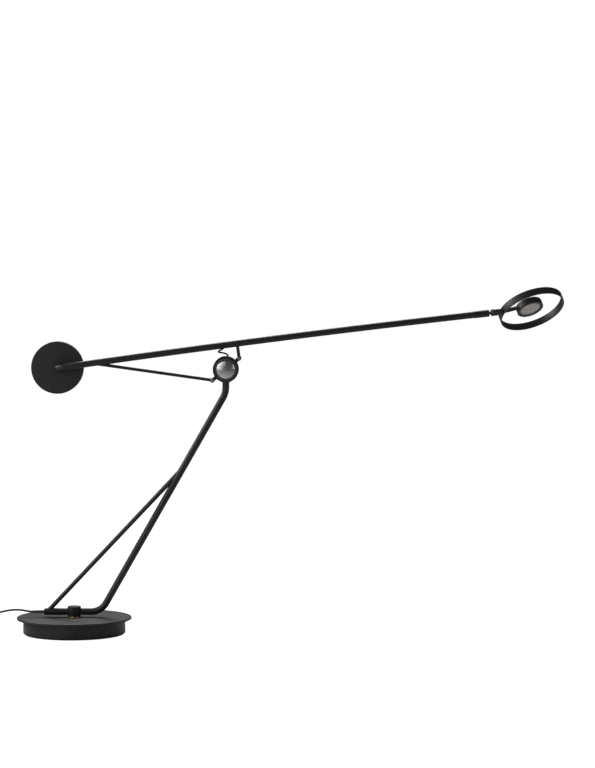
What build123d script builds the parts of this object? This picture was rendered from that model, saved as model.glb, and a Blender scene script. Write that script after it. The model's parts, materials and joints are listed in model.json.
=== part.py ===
"""Counterweight balance desk lamp, millimetres, +Z up.

The origin is the centre of the base's underside, where the lamp stands. The lamp's plane is XZ:
the head is towards +X, the counterweight and the mains cord are towards -X, and -Y is the front,
the side that shows the silver cap.
"""

import os

from math import atan2, cos, pi, radians, sin, sqrt, tan

from build123d import *

# ------------------------------------------------------------------ clearances
running_gap = 0.05  # radial gap of a shaft in the bore it turns in
seat_gap = 0.03  # radial gap of a pressed or glued seat
free_gap = 0.3  # gap between pieces that pass each other

# ------------------------------------------------------------------ base
plate_d = 200.0
plate_thickness = 4.0
plate_rim_fillet = 1.4
drum_d = 178.0
drum_wall = 4.0
drum_height = 24.1
drum_edge_fillet = 1.6
drum_lip_width = 3.0
drum_lip_thickness = 2.0
foot_pad_thickness = 1.5
foot_pad_inset = 2.5
cover_thickness = 2.0
ballast_thickness = 17.0
ballast_gap = 0.5  # to the drum's lip
boss_reach = 62.0
boss_r = 7.0
boss_count = 3
cover_screw_r = 2.0
cover_screw_head_r = 3.8
cover_screw_length = 10.0
ballast_screw_reach = 40.0
ballast_screw_r = 2.5
ballast_screw_head_r = 4.25
ballast_screw_head_height = 5.0
ballast_screw_recess = 6.0
ballast_screw_bite = 2.8  # thread depth in the top plate

# ------------------------------------------------------------------ swivel
bush_flange_r = 11.2
bush_flange_thickness = 0.8
bush_outer_r = 10.0
bush_length = 10.0
spigot_r = 8.0
spigot_thread_r = 6.0
collar_r = 11.8
collar_foot_r = 11.1
collar_height = 18.0
collar_top_fillet = 2.2
nut_pocket_r = 15.0
nut_pocket_depth = 11.0
thrust_washer_thickness = 1.2
spring_washer_thickness = 0.8
washer_r = 13.0
nut_across_flats = 19.0
nut_height = 7.0
set_screw_r = 2.5
set_screw_hex = 2.5

# ------------------------------------------------------------------ stem
tube_d = 12.0
tube_wall = 1.5
foot_tube_end_x = -51.2
foot_axis_height = 9.1  # above the top plate
foot_corner_x = 47.0
pivot_x = 265.0
pivot_z = 462.0
neck_corner_drop = 41.0  # from the pivot down to the stem's upper corner
foot_bend_r = 30.0
neck_bend_r = 40.0
strut_r = 4.0
strut_foot_x = -46.8
strut_head_z = 289.6  # where the strut's axis meets the stem's
gland_flange_r = 5.2
gland_flange_thickness = 1.2
gland_plug_length = 9.0
relief_length = 20.0
relief_root_r = 2.7
relief_tip_r = 2.2

# ------------------------------------------------------------------ pivot
core_r = 20.0
core_half_width = 8.5
hub_r = 16.6
hub_half_width = 14.5
neck_socket_r = 8.4
neck_socket_reach = 22.2  # from the pivot's axis
tube_entry_depth = 8.5  # stem tube above the socket's mouth
friction_thickness = 0.8
yoke_r = 22.5
yoke_thickness = 4.0
yoke_chamfer = 0.6
lug_circle_r = 30.0
lug_angle = 32.2  # from the arm's direction
lug_r = 3.9
lug_neck_width = 6.0
lug_screw_r = 2.0
lug_screw_head_r = 3.1
lug_screw_head_height = 1.5
retainer_width = 2.6
cap_r = 15.5
cap_rim_height = 0.5  # the cap's rim in front of the hub
cap_dome_height = 2.0
cap_wall = 2.0
cap_skirt_depth = 4.2
button_travel = 1.0
cap_pocket_depth = 5.8
board_r = 13.0
board_ledge = 1.5
board_thickness = 1.2
board_depth = 2.6  # board's back face behind the pocket's floor
switch_side = 6.0
switch_height = 1.6
spring_coil_r = 5.2
spring_wire_r = 0.4
spring_turns = 3
rear_cover_r = 15.6
rear_cover_thickness = 2.0
wire_hole_r = 1.35

# ------------------------------------------------------------------ arm, in the arm's own frame:
# u runs along the arm towards the head and v upwards, both from the pivot's axis
arm_angle = 7.3  # the rise, towards the head, of the line from the elbow to the tip
arm_height = 42.0  # the arm's axis above the pivot, at the arm's middle
arm_bow = 2.9  # how far the load bends both ends below the middle
arm_spans = 8  # the bow is drawn as this many arcs, end to end
arm_d = 11.6
arm_wall = 1.25
arm_tip_u = 439.0
elbow_u = -291.5  # the elbow's outgoing leg and the disc's centre
elbow_r = 13.0
elbow_leg = 24.0  # from the arm's axis to the end of the leg
rod_r = 2.8
brace_meets_u = -229.7  # the brace's axis meets the arm's
disc_d = 91.2
disc_thickness = 17.0
disc_front = 15.0  # behind the arm's axis
disc_edge_fillet = 0.8
insert_length = 8.0
disc_screw_r = 3.0
disc_screw_head_r = 6.0
disc_screw_head_height = 3.4
disc_washer_r = 9.0
disc_washer_thickness = 1.5
disc_pocket_extra = 0.4
loop_wire_r = 1.2
loop_start_u = 0.4  # the wire loop's ends and its fold
loop_start_depth = 0.5  # inside the arm's underside
loop_tip_u = -8.4
loop_turn_u = 4.2
loop_end_angle = 73.0  # where it enters the pivot
inner_lead_r = 1.1

# ------------------------------------------------------------------ ball joint at the tip
sleeve_r = 6.25
sleeve_length = 26.7
sleeve_spigot_length = 14.0
sleeve_edge_fillet = 0.5
stud_shank_r = 3.0
stud_flange_r = 3.4
stud_flange_length = 1.0
stud_neck_r = 2.0
stud_thread_r = 2.5
stud_bore_r = 1.0
stud_shank_length = 12.0
stud_nut_r = 3.5
stud_nut_length = 4.5
stud_washer_thickness = 0.5
nut_cavity_r = 3.75
ball_reach = 7.6  # from the sleeve's face to the ball's centre
ball_r = 4.6
liner_r = 5.0
liner_mouth = 2.4  # from the ball's centre towards the arm
liner_back = 5.4
socket_r = 5.75
socket_cap_r = 6.2
socket_cap_mouth = 3.8
socket_cap_back = 0.6
socket_mouth_r = 5.0
socket_cap_fillet = 1.1

# ------------------------------------------------------------------ head
neck_turn = 23.4  # the neck's direction away from the lamp's plane
neck_rise = 4.3
head_roll = 35.6  # the light's tilt about the neck, towards the front
ball_to_ring = 74.2  # the ball's centre to the ring's centre
ring_r = 58.2
ring_wall = 2.4
ring_height = 12.8
ring_edge_fillet = 0.4
puck_r = 23.7
puck_height = 12.4
puck_wall = 1.4
puck_back_fillet = 2.6
puck_front = 1.2  # the light's rim in front of the ring's middle
puck_offset = 2.3  # the light's axis nearer the ball than the ring's
inner_arm_r = 3.6
bezel_inner_r = 18.2
bezel_thickness = 1.0
bezel_recess = 0.2
diffuser_r = 19.6
diffuser_thickness = 1.4
reflector_wall = 1.2
led_board_r = 19.0
led_board_thickness = 1.2
heat_plate_thickness = 1.5
led_side = 2.8
led_height = 0.7
led_circle_r = 9.0
led_count = 8
puck_screw_r = 1.4
puck_screw_length = 1.9
puck_screw_floor = 2.0  # from the inner arm's axis
puck_screw_inset = 2.2  # outside the light's side

# ------------------------------------------------------------------ mains cord, coil and plug adapter
cord_d = 3.6
loop_gap = 0.55  # free space between the coil's loops and its layers
coil_mean_r = 21.5
coil_turns = 11.5
coil_layers = 4
coil_centre = (-262.0, 36.0)
tie_thickness = 0.7
tie_width = 10.0
tie_gap = 0.45
adapter_length = 58.0
adapter_depth = 27.0
adapter_height = 33.0
adapter_corner_r = 4.0
adapter_start_x = -214.0
adapter_relief_length = 16.0
adapter_relief_root_r = 3.4
adapter_relief_tip_r = 2.3
pin_r = 2.0
pin_length = 19.0
pin_spacing = 18.6
pin_root = 5.0
pin_core_r = 1.5
pin_sleeve_r = 1.8
pin_sleeve_length = 10.0

# The cord's free run, chosen by hand: x, y, z of its corners between the bushing and the coil
cord_route = [
    (-79.2, 0.0, 38.7),
    (-96.5, 0.0, 42.5),
    (-120.0, -0.2, 40.3),
    (-141.5, 0.4, 33.6),
    (-162.0, 2.2, 24.0),
    (-183.5, 4.6, 13.6),
    (-204.5, 7.0, 6.2),
    (-226.0, 8.3, 3.2),
]
coil_lead_in = 18.0  # straight run into the coil
tail_lead = 7.0  # straight runs at both ends of the cord's tail


os.makedirs("parts", exist_ok=True)


def save(builder, name):
    """Labels a finished piece and writes it as its own file."""
    builder.part.label = name
    export_step(builder.part, f"parts/{name}.step")


# ------------------------------------------------------------------ levels and frames
tube_r = tube_d / 2
arm_r = arm_d / 2
drum_r = drum_d / 2
drum_bore_r = drum_r - drum_wall
cover_top_z = foot_pad_thickness + cover_thickness
plate_bottom_z = foot_pad_thickness + drum_height
plate_top_z = plate_bottom_z + plate_thickness
ballast_bottom_z = plate_bottom_z - ballast_thickness
collar_bottom_z = plate_top_z + bush_flange_thickness
foot_z = plate_top_z + foot_axis_height
nut_pocket_top_z = ballast_bottom_z + nut_pocket_depth
stem_corner_z = pivot_z - neck_corner_drop
stem_angle = atan2(stem_corner_z - foot_z, pivot_x - foot_corner_x)
ball_bore_r = ball_r + running_gap

arm_dir = Vector(cos(radians(arm_angle)), 0, sin(radians(arm_angle)))
arm_up = Vector(-sin(radians(arm_angle)), 0, cos(radians(arm_angle)))
front = Vector(0, -1, 0)
back = Vector(0, 1, 0)
pivot_centre = Vector(pivot_x, 0, pivot_z)


def arm_point(u, v, y=0.0):
    """A point given in the arm's frame."""
    return pivot_centre + arm_dir * u + arm_up * v + Vector(0, y, 0)


def upside_down(z):
    """The level plane at z, facing down."""
    return Plane(origin=(0, 0, z), x_dir=(1, 0, 0), z_dir=(0, 0, -1))


def pivot_plane(y):
    """The plane across the pivot's axis at y, facing the front."""
    return Plane(origin=(pivot_x, y, pivot_z), x_dir=(1, 0, 0), z_dir=front)


def arm_plane(y=0.0):
    """The plane of u and v at y, facing the front."""
    return Plane(origin=pivot_centre + Vector(0, y, 0), x_dir=arm_dir, z_dir=front)


arm_middle_u = (arm_tip_u + elbow_u) / 2
arm_bow_r = (arm_tip_u - elbow_u) ** 2 / (8 * arm_bow) + arm_bow / 2


def arm_axis(u):
    """The point of the arm's axis at u."""
    return arm_point(u, arm_height - arm_bow_r + sqrt(arm_bow_r**2 - (u - arm_middle_u) ** 2))


def arm_way(u):
    """The direction of the arm's axis at u, towards the head."""
    sine = (u - arm_middle_u) / arm_bow_r
    return arm_dir * sqrt(1 - sine**2) - arm_up * sine


tip_dir = arm_way(arm_tip_u)


def tip_section(distance):
    """The plane square to the arm's end, at a distance beyond the tube."""
    return Plane(origin=arm_axis(arm_tip_u) + tip_dir * distance, x_dir=back, z_dir=tip_dir)


ball_centre = arm_axis(arm_tip_u) + tip_dir * (sleeve_length + ball_reach)
neck_dir = Vector(
    cos(radians(neck_rise)) * cos(radians(neck_turn)),
    cos(radians(neck_rise)) * sin(radians(neck_turn)),
    sin(radians(neck_rise)),
)
neck_side = Vector(-sin(radians(neck_turn)), cos(radians(neck_turn)), 0)
neck_up = neck_dir.cross(neck_side)
light_dir = neck_up * -cos(radians(head_roll)) - neck_side * sin(radians(head_roll))
ring_centre = ball_centre + neck_dir * ball_to_ring
puck_centre = ring_centre - neck_dir * puck_offset + light_dir * puck_front


def neck_section(distance):
    """The plane square to the neck, at a distance from the ball's centre."""
    return Plane(origin=ball_centre + neck_dir * distance, x_dir=light_dir, z_dir=neck_dir)


def head_plane(depth):
    """A plane of the ring, moved along the way the light shines; 0 is the ring's middle."""
    return Plane(origin=ring_centre + light_dir * depth, x_dir=neck_dir, z_dir=light_dir)


def puck_plane(depth):
    """A plane of the light, moved along the way it shines; 0 is its front rim."""
    return Plane(origin=puck_centre + light_dir * depth, x_dir=neck_dir, z_dir=light_dir)


# ------------------------------------------------------------------ base
with BuildPart() as foot_pad:
    with BuildSketch():
        Circle(drum_r - foot_pad_inset)
    extrude(amount=foot_pad_thickness)
save(foot_pad, "foot_pad")

with BuildPart() as base_drum:
    with BuildSketch(Plane.XY.offset(foot_pad_thickness)):
        Circle(drum_r)
        Circle(drum_bore_r, mode=Mode.SUBTRACT)
    extrude(amount=drum_height)
    with BuildSketch(Plane.XY.offset(cover_top_z)):
        Circle(drum_bore_r)
        Circle(drum_bore_r - drum_lip_width, mode=Mode.SUBTRACT)
    extrude(amount=drum_lip_thickness)
    lowest_edges = base_drum.edges().filter_by(GeomType.CIRCLE).group_by(Axis.Z)[0]
    fillet(lowest_edges.sort_by(SortBy.RADIUS)[-1], radius=drum_edge_fillet)
save(base_drum, "base_drum")

with BuildPart() as bottom_cover:
    with BuildSketch(Plane.XY.offset(foot_pad_thickness)):
        Circle(drum_bore_r - seat_gap)
    extrude(amount=cover_thickness)
    with Locations(upside_down(foot_pad_thickness)):
        with PolarLocations(boss_reach, boss_count):
            CounterSinkHole(cover_screw_r + seat_gap, cover_screw_head_r + seat_gap, counter_sink_angle=90)
save(bottom_cover, "bottom_cover")

with BuildPart() as cover_screws:
    with BuildSketch(Plane.XY.offset(foot_pad_thickness)):
        with PolarLocations(boss_reach, boss_count):
            Circle(cover_screw_r)
    extrude(amount=cover_screw_length)
    with BuildSketch(Plane.XY.offset(foot_pad_thickness)):
        with PolarLocations(boss_reach, boss_count):
            Circle(cover_screw_head_r)
    extrude(amount=cover_screw_head_r - cover_screw_r, taper=45)
save(cover_screws, "cover_screws")

with BuildPart() as base_top_plate:
    with BuildSketch(Plane.XY.offset(plate_bottom_z)):
        Circle(plate_d / 2)
        Circle(bush_outer_r + seat_gap, mode=Mode.SUBTRACT)
    extrude(amount=plate_thickness)
    rim_edges = base_top_plate.edges().filter_by(GeomType.CIRCLE).sort_by(SortBy.RADIUS)[-2:]
    fillet(rim_edges, radius=plate_rim_fillet)
    with BuildSketch(Plane.XY.offset(plate_bottom_z)):
        with PolarLocations(ballast_screw_reach, boss_count, start_angle=60):
            Circle(ballast_screw_r + seat_gap)
    extrude(amount=ballast_screw_bite, mode=Mode.SUBTRACT)
save(base_top_plate, "base_top_plate")

with BuildPart() as ballast:
    with BuildSketch(Plane.XY.offset(ballast_bottom_z)):
        Circle(drum_bore_r - drum_lip_width - ballast_gap)
    extrude(amount=ballast_thickness)
    with BuildSketch(Plane.XY.offset(cover_top_z)):
        with PolarLocations(boss_reach, boss_count):
            Circle(boss_r)
    extrude(amount=ballast_bottom_z - cover_top_z)
    with BuildSketch(Plane.XY.offset(cover_top_z)):
        with PolarLocations(boss_reach, boss_count):
            Circle(cover_screw_r + seat_gap)
    extrude(amount=cover_screw_length, mode=Mode.SUBTRACT)
    with Locations(upside_down(ballast_bottom_z)):
        with PolarLocations(ballast_screw_reach, boss_count, start_angle=60):
            CounterBoreHole(
                ballast_screw_r + free_gap, ballast_screw_head_r + free_gap, ballast_screw_recess
            )
        CounterBoreHole(bush_outer_r + seat_gap, nut_pocket_r, nut_pocket_depth)
save(ballast, "ballast")

ballast_screw_head_z = ballast_bottom_z + ballast_screw_recess - ballast_screw_head_height
with BuildPart() as ballast_screws:
    with BuildSketch(Plane.XY.offset(ballast_screw_head_z)):
        with PolarLocations(ballast_screw_reach, boss_count, start_angle=60):
            Circle(ballast_screw_head_r)
            RegularPolygon(ballast_screw_r, 6, mode=Mode.SUBTRACT)
    extrude(amount=ballast_screw_head_height)
    with BuildSketch(Plane.XY.offset(ballast_screw_head_z + ballast_screw_r)):
        with PolarLocations(ballast_screw_reach, boss_count, start_angle=60):
            Circle(ballast_screw_r)
    extrude(amount=plate_bottom_z + ballast_screw_bite - ballast_screw_head_z - ballast_screw_r)
save(ballast_screws, "ballast_screws")

# ------------------------------------------------------------------ swivel
with BuildPart() as swivel_bush:
    with BuildSketch(Plane.XY.offset(plate_top_z)):
        Circle(bush_flange_r)
    extrude(amount=bush_flange_thickness)
    with BuildSketch(Plane.XY.offset(plate_top_z)):
        Circle(bush_outer_r)
    extrude(amount=-bush_length)
    with BuildSketch(Plane.XY.offset(collar_bottom_z)):
        Circle(spigot_r + running_gap)
    extrude(amount=-(bush_length + bush_flange_thickness), mode=Mode.SUBTRACT)
save(swivel_bush, "swivel_bush")

thread_top_z = nut_pocket_top_z - thrust_washer_thickness / 2
nut_top_z = nut_pocket_top_z - thrust_washer_thickness - spring_washer_thickness
thread_end_z = nut_top_z - nut_height - 1.0
with BuildPart() as swivel_collar:
    with BuildSketch(Plane.XZ):
        with BuildLine():
            Polyline(
                (0, thread_end_z),
                (spigot_thread_r, thread_end_z),
                (spigot_thread_r, thread_top_z),
                (spigot_r, thread_top_z),
                (spigot_r, collar_bottom_z),
                (collar_foot_r, collar_bottom_z),
                (collar_r, collar_bottom_z + collar_height / 2),
                (collar_r, collar_bottom_z + collar_height),
                (0, collar_bottom_z + collar_height),
                close=True,
            )
        make_face()
    revolve(axis=Axis.Z)
    fillet(swivel_collar.edges().filter_by(GeomType.CIRCLE).sort_by(Axis.Z)[-1], radius=collar_top_fillet)
    with Locations(Plane(origin=(0, 0, foot_z), z_dir=(1, 0, 0))):
        Hole(tube_r + seat_gap)
    with BuildSketch(Plane(origin=(0, 0, foot_z), z_dir=back)):
        Circle(set_screw_r + seat_gap)
    extrude(amount=collar_r + 1, mode=Mode.SUBTRACT)
save(swivel_collar, "swivel_collar")

with BuildPart() as collar_set_screw:
    with BuildSketch(Plane(origin=(0, tube_r + seat_gap, foot_z), z_dir=back)):
        Circle(set_screw_r)
    extrude(amount=collar_r - tube_r - 0.8)
    with BuildSketch(Plane(origin=(0, collar_r, foot_z), z_dir=front)):
        RegularPolygon(set_screw_hex / 2, 6)
    extrude(amount=set_screw_hex, mode=Mode.SUBTRACT)
save(collar_set_screw, "collar_set_screw")

with BuildPart() as thrust_washer:
    with BuildSketch(Plane.XY.offset(nut_pocket_top_z)):
        Circle(washer_r)
        Circle(spigot_r + free_gap, mode=Mode.SUBTRACT)
    extrude(amount=-thrust_washer_thickness)
save(thrust_washer, "thrust_washer")

with BuildPart() as spring_washer:
    with BuildSketch(Plane.XY.offset(nut_pocket_top_z - thrust_washer_thickness)):
        Circle(washer_r - 1)
        Circle(spigot_thread_r + seat_gap, mode=Mode.SUBTRACT)
    extrude(amount=-spring_washer_thickness)
save(spring_washer, "spring_washer")

with BuildPart() as swivel_nut:
    with BuildSketch(Plane.XY.offset(nut_top_z)):
        RegularPolygon(nut_across_flats / 2, 6, major_radius=False)
        Circle(spigot_thread_r + seat_gap, mode=Mode.SUBTRACT)
    extrude(amount=-nut_height)
    chamfer(swivel_nut.faces().sort_by(Axis.Z)[0].outer_wire().edges(), length=0.8)
save(swivel_nut, "swivel_nut")

# ------------------------------------------------------------------ stem
foot_start = (foot_tube_end_x, foot_z)
foot_corner = (foot_corner_x, foot_z)
neck_corner = (pivot_x, stem_corner_z)
stem_top_z = pivot_z - neck_socket_reach + tube_entry_depth

with BuildPart() as stem_tube:
    with BuildLine(Plane.XZ) as stem_line:
        FilletPolyline(
            foot_start, foot_corner, neck_corner, (pivot_x, stem_top_z), radius=[foot_bend_r, neck_bend_r]
        )
    with BuildSketch(Plane(origin=(foot_tube_end_x, 0, foot_z), x_dir=back, z_dir=(1, 0, 0))):
        Circle(tube_r)
        Circle(tube_r - tube_wall, mode=Mode.SUBTRACT)
    sweep(path=stem_line.line)
save(stem_tube, "stem_tube")

stem_dir = Vector(cos(stem_angle), 0, sin(stem_angle))
strut_foot = Vector(strut_foot_x, 0, foot_z)
strut_head = Vector(foot_corner_x, 0, foot_z) + stem_dir * ((strut_head_z - foot_z) / sin(stem_angle))
strut_dir = (strut_head - strut_foot).normalized()
with BuildPart() as strut_rod:
    with BuildSketch(Plane(origin=strut_foot, z_dir=strut_dir)):
        Circle(strut_r)
    extrude(amount=(strut_head - strut_foot).length)
    with BuildSketch(Plane(origin=(foot_tube_end_x, 0, foot_z), z_dir=(1, 0, 0))):
        Circle(tube_r + seat_gap)
    extrude(amount=foot_corner_x - foot_tube_end_x, mode=Mode.SUBTRACT)
    with BuildSketch(Plane(origin=strut_head - stem_dir * (tube_d * 8), z_dir=stem_dir)):
        Circle(tube_r + seat_gap)
    extrude(amount=tube_d * 16, mode=Mode.SUBTRACT)
save(strut_rod, "strut_rod")

relief_end_x = foot_tube_end_x - relief_length
with BuildPart() as cord_gland:
    with BuildSketch(Plane.XZ):
        with BuildLine():
            Polyline(
                (foot_tube_end_x + gland_plug_length, foot_z + cord_d / 2 + seat_gap),
                (foot_tube_end_x + gland_plug_length, foot_z + tube_r - tube_wall - seat_gap),
                (foot_tube_end_x, foot_z + tube_r - tube_wall - seat_gap),
                (foot_tube_end_x, foot_z + gland_flange_r),
                (foot_tube_end_x - gland_flange_thickness, foot_z + gland_flange_r),
                (foot_tube_end_x - gland_flange_thickness, foot_z + relief_root_r),
                (relief_end_x, foot_z + relief_tip_r),
                (relief_end_x, foot_z + cord_d / 2 + seat_gap),
                close=True,
            )
        make_face()
    revolve(axis=Axis((0, 0, foot_z), (1, 0, 0)))
save(cord_gland, "cord_gland")

with BuildPart() as stem_lead:
    with BuildLine(Plane.XZ) as lead_line:
        FilletPolyline(
            (relief_end_x, foot_z),
            foot_corner,
            neck_corner,
            (pivot_x, stem_top_z + 3),
            radius=[foot_bend_r, neck_bend_r],
        )
    with BuildSketch(Plane(origin=(relief_end_x, 0, foot_z), z_dir=(1, 0, 0))):
        Circle(cord_d / 2)
    sweep(path=lead_line.line)
save(stem_lead, "stem_lead")

# ------------------------------------------------------------------ pivot, on the stem
yoke_inner = core_half_width + friction_thickness
yoke_outer = yoke_inner + yoke_thickness
pocket_floor = hub_half_width - cap_pocket_depth
board_back = pocket_floor - board_depth
loop_end_dir = Vector(cos(radians(loop_end_angle + arm_angle)), 0, sin(radians(loop_end_angle + arm_angle)))

with BuildPart() as pivot_housing:
    with BuildSketch(pivot_plane(core_half_width)):
        Circle(core_r)
    extrude(amount=2 * core_half_width)
    with BuildSketch(pivot_plane(hub_half_width)):
        Circle(hub_r)
    extrude(amount=2 * hub_half_width)
    with BuildSketch(Plane.XY.offset(pivot_z - neck_socket_reach)):
        with Locations((pivot_x, 0)):
            Circle(neck_socket_r)
    extrude(until=Until.NEXT)
    with BuildSketch(pivot_plane(-hub_half_width)):
        Circle(cap_r + free_gap)
    extrude(amount=-cap_pocket_depth, mode=Mode.SUBTRACT)
    with BuildSketch(pivot_plane(-pocket_floor)):
        Circle(board_r + seat_gap)
    extrude(amount=-board_depth, mode=Mode.SUBTRACT)
    with BuildSketch(pivot_plane(-board_back)):
        Circle(board_r - board_ledge)
    extrude(amount=-(board_back + hub_half_width), mode=Mode.SUBTRACT)
    with BuildSketch(pivot_plane(hub_half_width)):
        Circle(rear_cover_r + seat_gap)
    extrude(amount=rear_cover_thickness, mode=Mode.SUBTRACT)
    with BuildSketch(Plane.XY.offset(pivot_z - neck_socket_reach)):
        with Locations((pivot_x, 0)):
            Circle(tube_r + seat_gap)
    extrude(amount=tube_entry_depth + 3, mode=Mode.SUBTRACT)
    with BuildSketch(Plane(origin=pivot_centre, z_dir=loop_end_dir)):
        Circle(wire_hole_r)
    extrude(amount=core_r + 1, mode=Mode.SUBTRACT)
save(pivot_housing, "pivot_housing")

with BuildPart() as friction_washers:
    for side in (-1, 1):
        with BuildSketch(pivot_plane(side * (core_half_width + friction_thickness / 2))):
            Circle(core_r - 0.5)
            Circle(hub_r + running_gap, mode=Mode.SUBTRACT)
        extrude(amount=friction_thickness / 2, both=True)
save(friction_washers, "friction_washers")

with BuildPart() as retaining_rings:
    for side in (-1, 1):
        with BuildSketch(pivot_plane(side * (yoke_outer + hub_half_width) / 2)):
            Circle(hub_r + retainer_width)
            Circle(hub_r + seat_gap, mode=Mode.SUBTRACT)
        extrude(amount=(hub_half_width - yoke_outer) / 2, both=True)
save(retaining_rings, "retaining_rings")

with BuildPart() as rear_cover:
    with BuildSketch(pivot_plane(hub_half_width)):
        Circle(rear_cover_r)
    extrude(amount=rear_cover_thickness)
    chamfer(rear_cover.faces().sort_by(Axis.Y)[-1].edges(), length=0.5)
    with BuildSketch(pivot_plane(hub_half_width)):
        with PolarLocations(rear_cover_r * 0.65, 2):
            Circle(1.2)
    extrude(amount=rear_cover_thickness / 2, mode=Mode.SUBTRACT)
save(rear_cover, "rear_cover")

with BuildPart() as dimmer_board:
    with BuildSketch(pivot_plane(-board_back)):
        Circle(board_r)
    extrude(amount=board_thickness)
    board_front = board_back + board_thickness
    with BuildSketch(pivot_plane(-board_front)):
        RectangleRounded(switch_side, switch_side, 0.6)
    extrude(amount=switch_height)
save(dimmer_board, "dimmer_board")

# ------------------------------------------------------------------ cap that presses in, and its spring
cap_rim_y = hub_half_width + cap_rim_height
cap_front_y = cap_rim_y + cap_dome_height
cap_inner_y = cap_rim_y - cap_wall
cap_skirt_y = cap_rim_y - cap_skirt_depth
plunger_y = board_front + switch_height + button_travel
cap_plane = Plane(origin=pivot_centre, x_dir=(0, 0, 1), z_dir=(1, 0, 0))

with BuildPart() as dimmer_cap:
    with BuildSketch(cap_plane):
        with BuildLine():
            dome_middle = (cap_r / 2, cap_front_y - 0.27 * cap_dome_height)
            dome = ThreePointArc((0, cap_front_y), dome_middle, (cap_r, cap_rim_y))
            Polyline(
                dome @ 1,
                (cap_r, cap_skirt_y),
                (cap_r - cap_wall, cap_skirt_y),
                (cap_r - cap_wall, cap_inner_y),
                (switch_side / 3, cap_inner_y),
                (switch_side / 3, plunger_y),
                (0, plunger_y),
                dome @ 0,
            )
        make_face()
    revolve(axis=Axis(pivot_centre, (0, 1, 0)))
save(dimmer_cap, "dimmer_cap")

spring_seat_y = board_front + spring_wire_r
spring_top_y = cap_inner_y - spring_wire_r
with BuildPart() as cap_spring:
    with BuildLine():
        coil_line = Helix(
            pitch=(spring_top_y - spring_seat_y) / spring_turns,
            height=spring_top_y - spring_seat_y,
            radius=spring_coil_r,
            center=pivot_centre + front * spring_seat_y,
            direction=front,
        )
    with BuildSketch(Plane(origin=coil_line @ 0, z_dir=coil_line % 0)):
        Circle(spring_wire_r)
    sweep(path=coil_line, is_frenet=True)
save(cap_spring, "cap_spring")

# ------------------------------------------------------------------ yokes, on the arm
lug_places = [(lug_circle_r, lug_angle), (lug_circle_r, lug_angle + 180)]


def yoke(side):
    """A ring on the hub with two lugs, side -1 at the front and 1 at the rear."""
    middle = side * (yoke_inner + yoke_outer) / 2
    with BuildPart() as ring:
        with BuildSketch(arm_plane(middle)):
            Circle(yoke_r)
            for reach, angle in lug_places:
                with Locations(Rotation(0, 0, angle)):
                    with Locations((reach / 2, 0)):
                        Rectangle(reach, lug_neck_width)
                    with Locations((reach, 0)):
                        Circle(lug_r)
            Circle(hub_r + running_gap, mode=Mode.SUBTRACT)
            for reach, angle in lug_places:
                with Locations(Rotation(0, 0, angle)):
                    with Locations((reach, 0)):
                        Circle(lug_screw_r + seat_gap, mode=Mode.SUBTRACT)
        extrude(amount=yoke_thickness / 2, both=True)
        outer_face = ring.faces().filter_by(GeomType.PLANE).sort_by(Axis.Y)[0 if side < 0 else -1]
        chamfer(outer_face.outer_wire().edges(), length=yoke_chamfer)
    return ring


front_yoke = yoke(-1)
save(front_yoke, "front_yoke")
rear_yoke = yoke(1)
save(rear_yoke, "rear_yoke")

with BuildPart() as lug_screws:
    for reach, angle in lug_places:
        centre = (reach * cos(radians(angle)), reach * sin(radians(angle)))
        with BuildSketch(Plane(origin=arm_point(*centre), z_dir=front)):
            Circle(lug_screw_r)
        extrude(amount=yoke_outer, both=True)
        for side in (-1, 1):
            with BuildSketch(Plane(origin=arm_point(*centre, side * yoke_outer), z_dir=(0, side, 0))):
                Circle(lug_screw_head_r)
            extrude(amount=lug_screw_head_height, taper=18)
save(lug_screws, "lug_screws")


def eyed_rod(eye, joins_u):
    """A rod from a lug's eye to the arm's underside, with a barrel that fills the yokes' gap."""
    eye_centre = arm_point(*eye)
    joint = arm_axis(joins_u)
    way = (joint - eye_centre).normalized()
    with BuildPart() as rod:
        with BuildSketch(Plane(origin=eye_centre, z_dir=way)):
            Circle(rod_r)
        extrude(amount=(joint - eye_centre).length)
        with BuildSketch(Plane(origin=joint, z_dir=arm_way(joins_u))):
            Circle(arm_r + seat_gap)
        extrude(amount=arm_d * 5, both=True, mode=Mode.SUBTRACT)
        with BuildSketch(Plane(origin=eye_centre, x_dir=arm_dir, z_dir=front)):
            Circle(lug_r)
        extrude(amount=yoke_inner, both=True)
        with BuildSketch(Plane(origin=eye_centre, x_dir=arm_dir, z_dir=front)):
            Circle(lug_screw_r + seat_gap)
        extrude(amount=yoke_inner, both=True, mode=Mode.SUBTRACT)
    return rod


post_eye = (lug_circle_r * cos(radians(lug_angle)), lug_circle_r * sin(radians(lug_angle)))
brace_eye = (-post_eye[0], -post_eye[1])
post_rod = eyed_rod(post_eye, post_eye[0])
save(post_rod, "post_rod")
brace_rod = eyed_rod(brace_eye, brace_meets_u)
save(brace_rod, "brace_rod")

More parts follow.
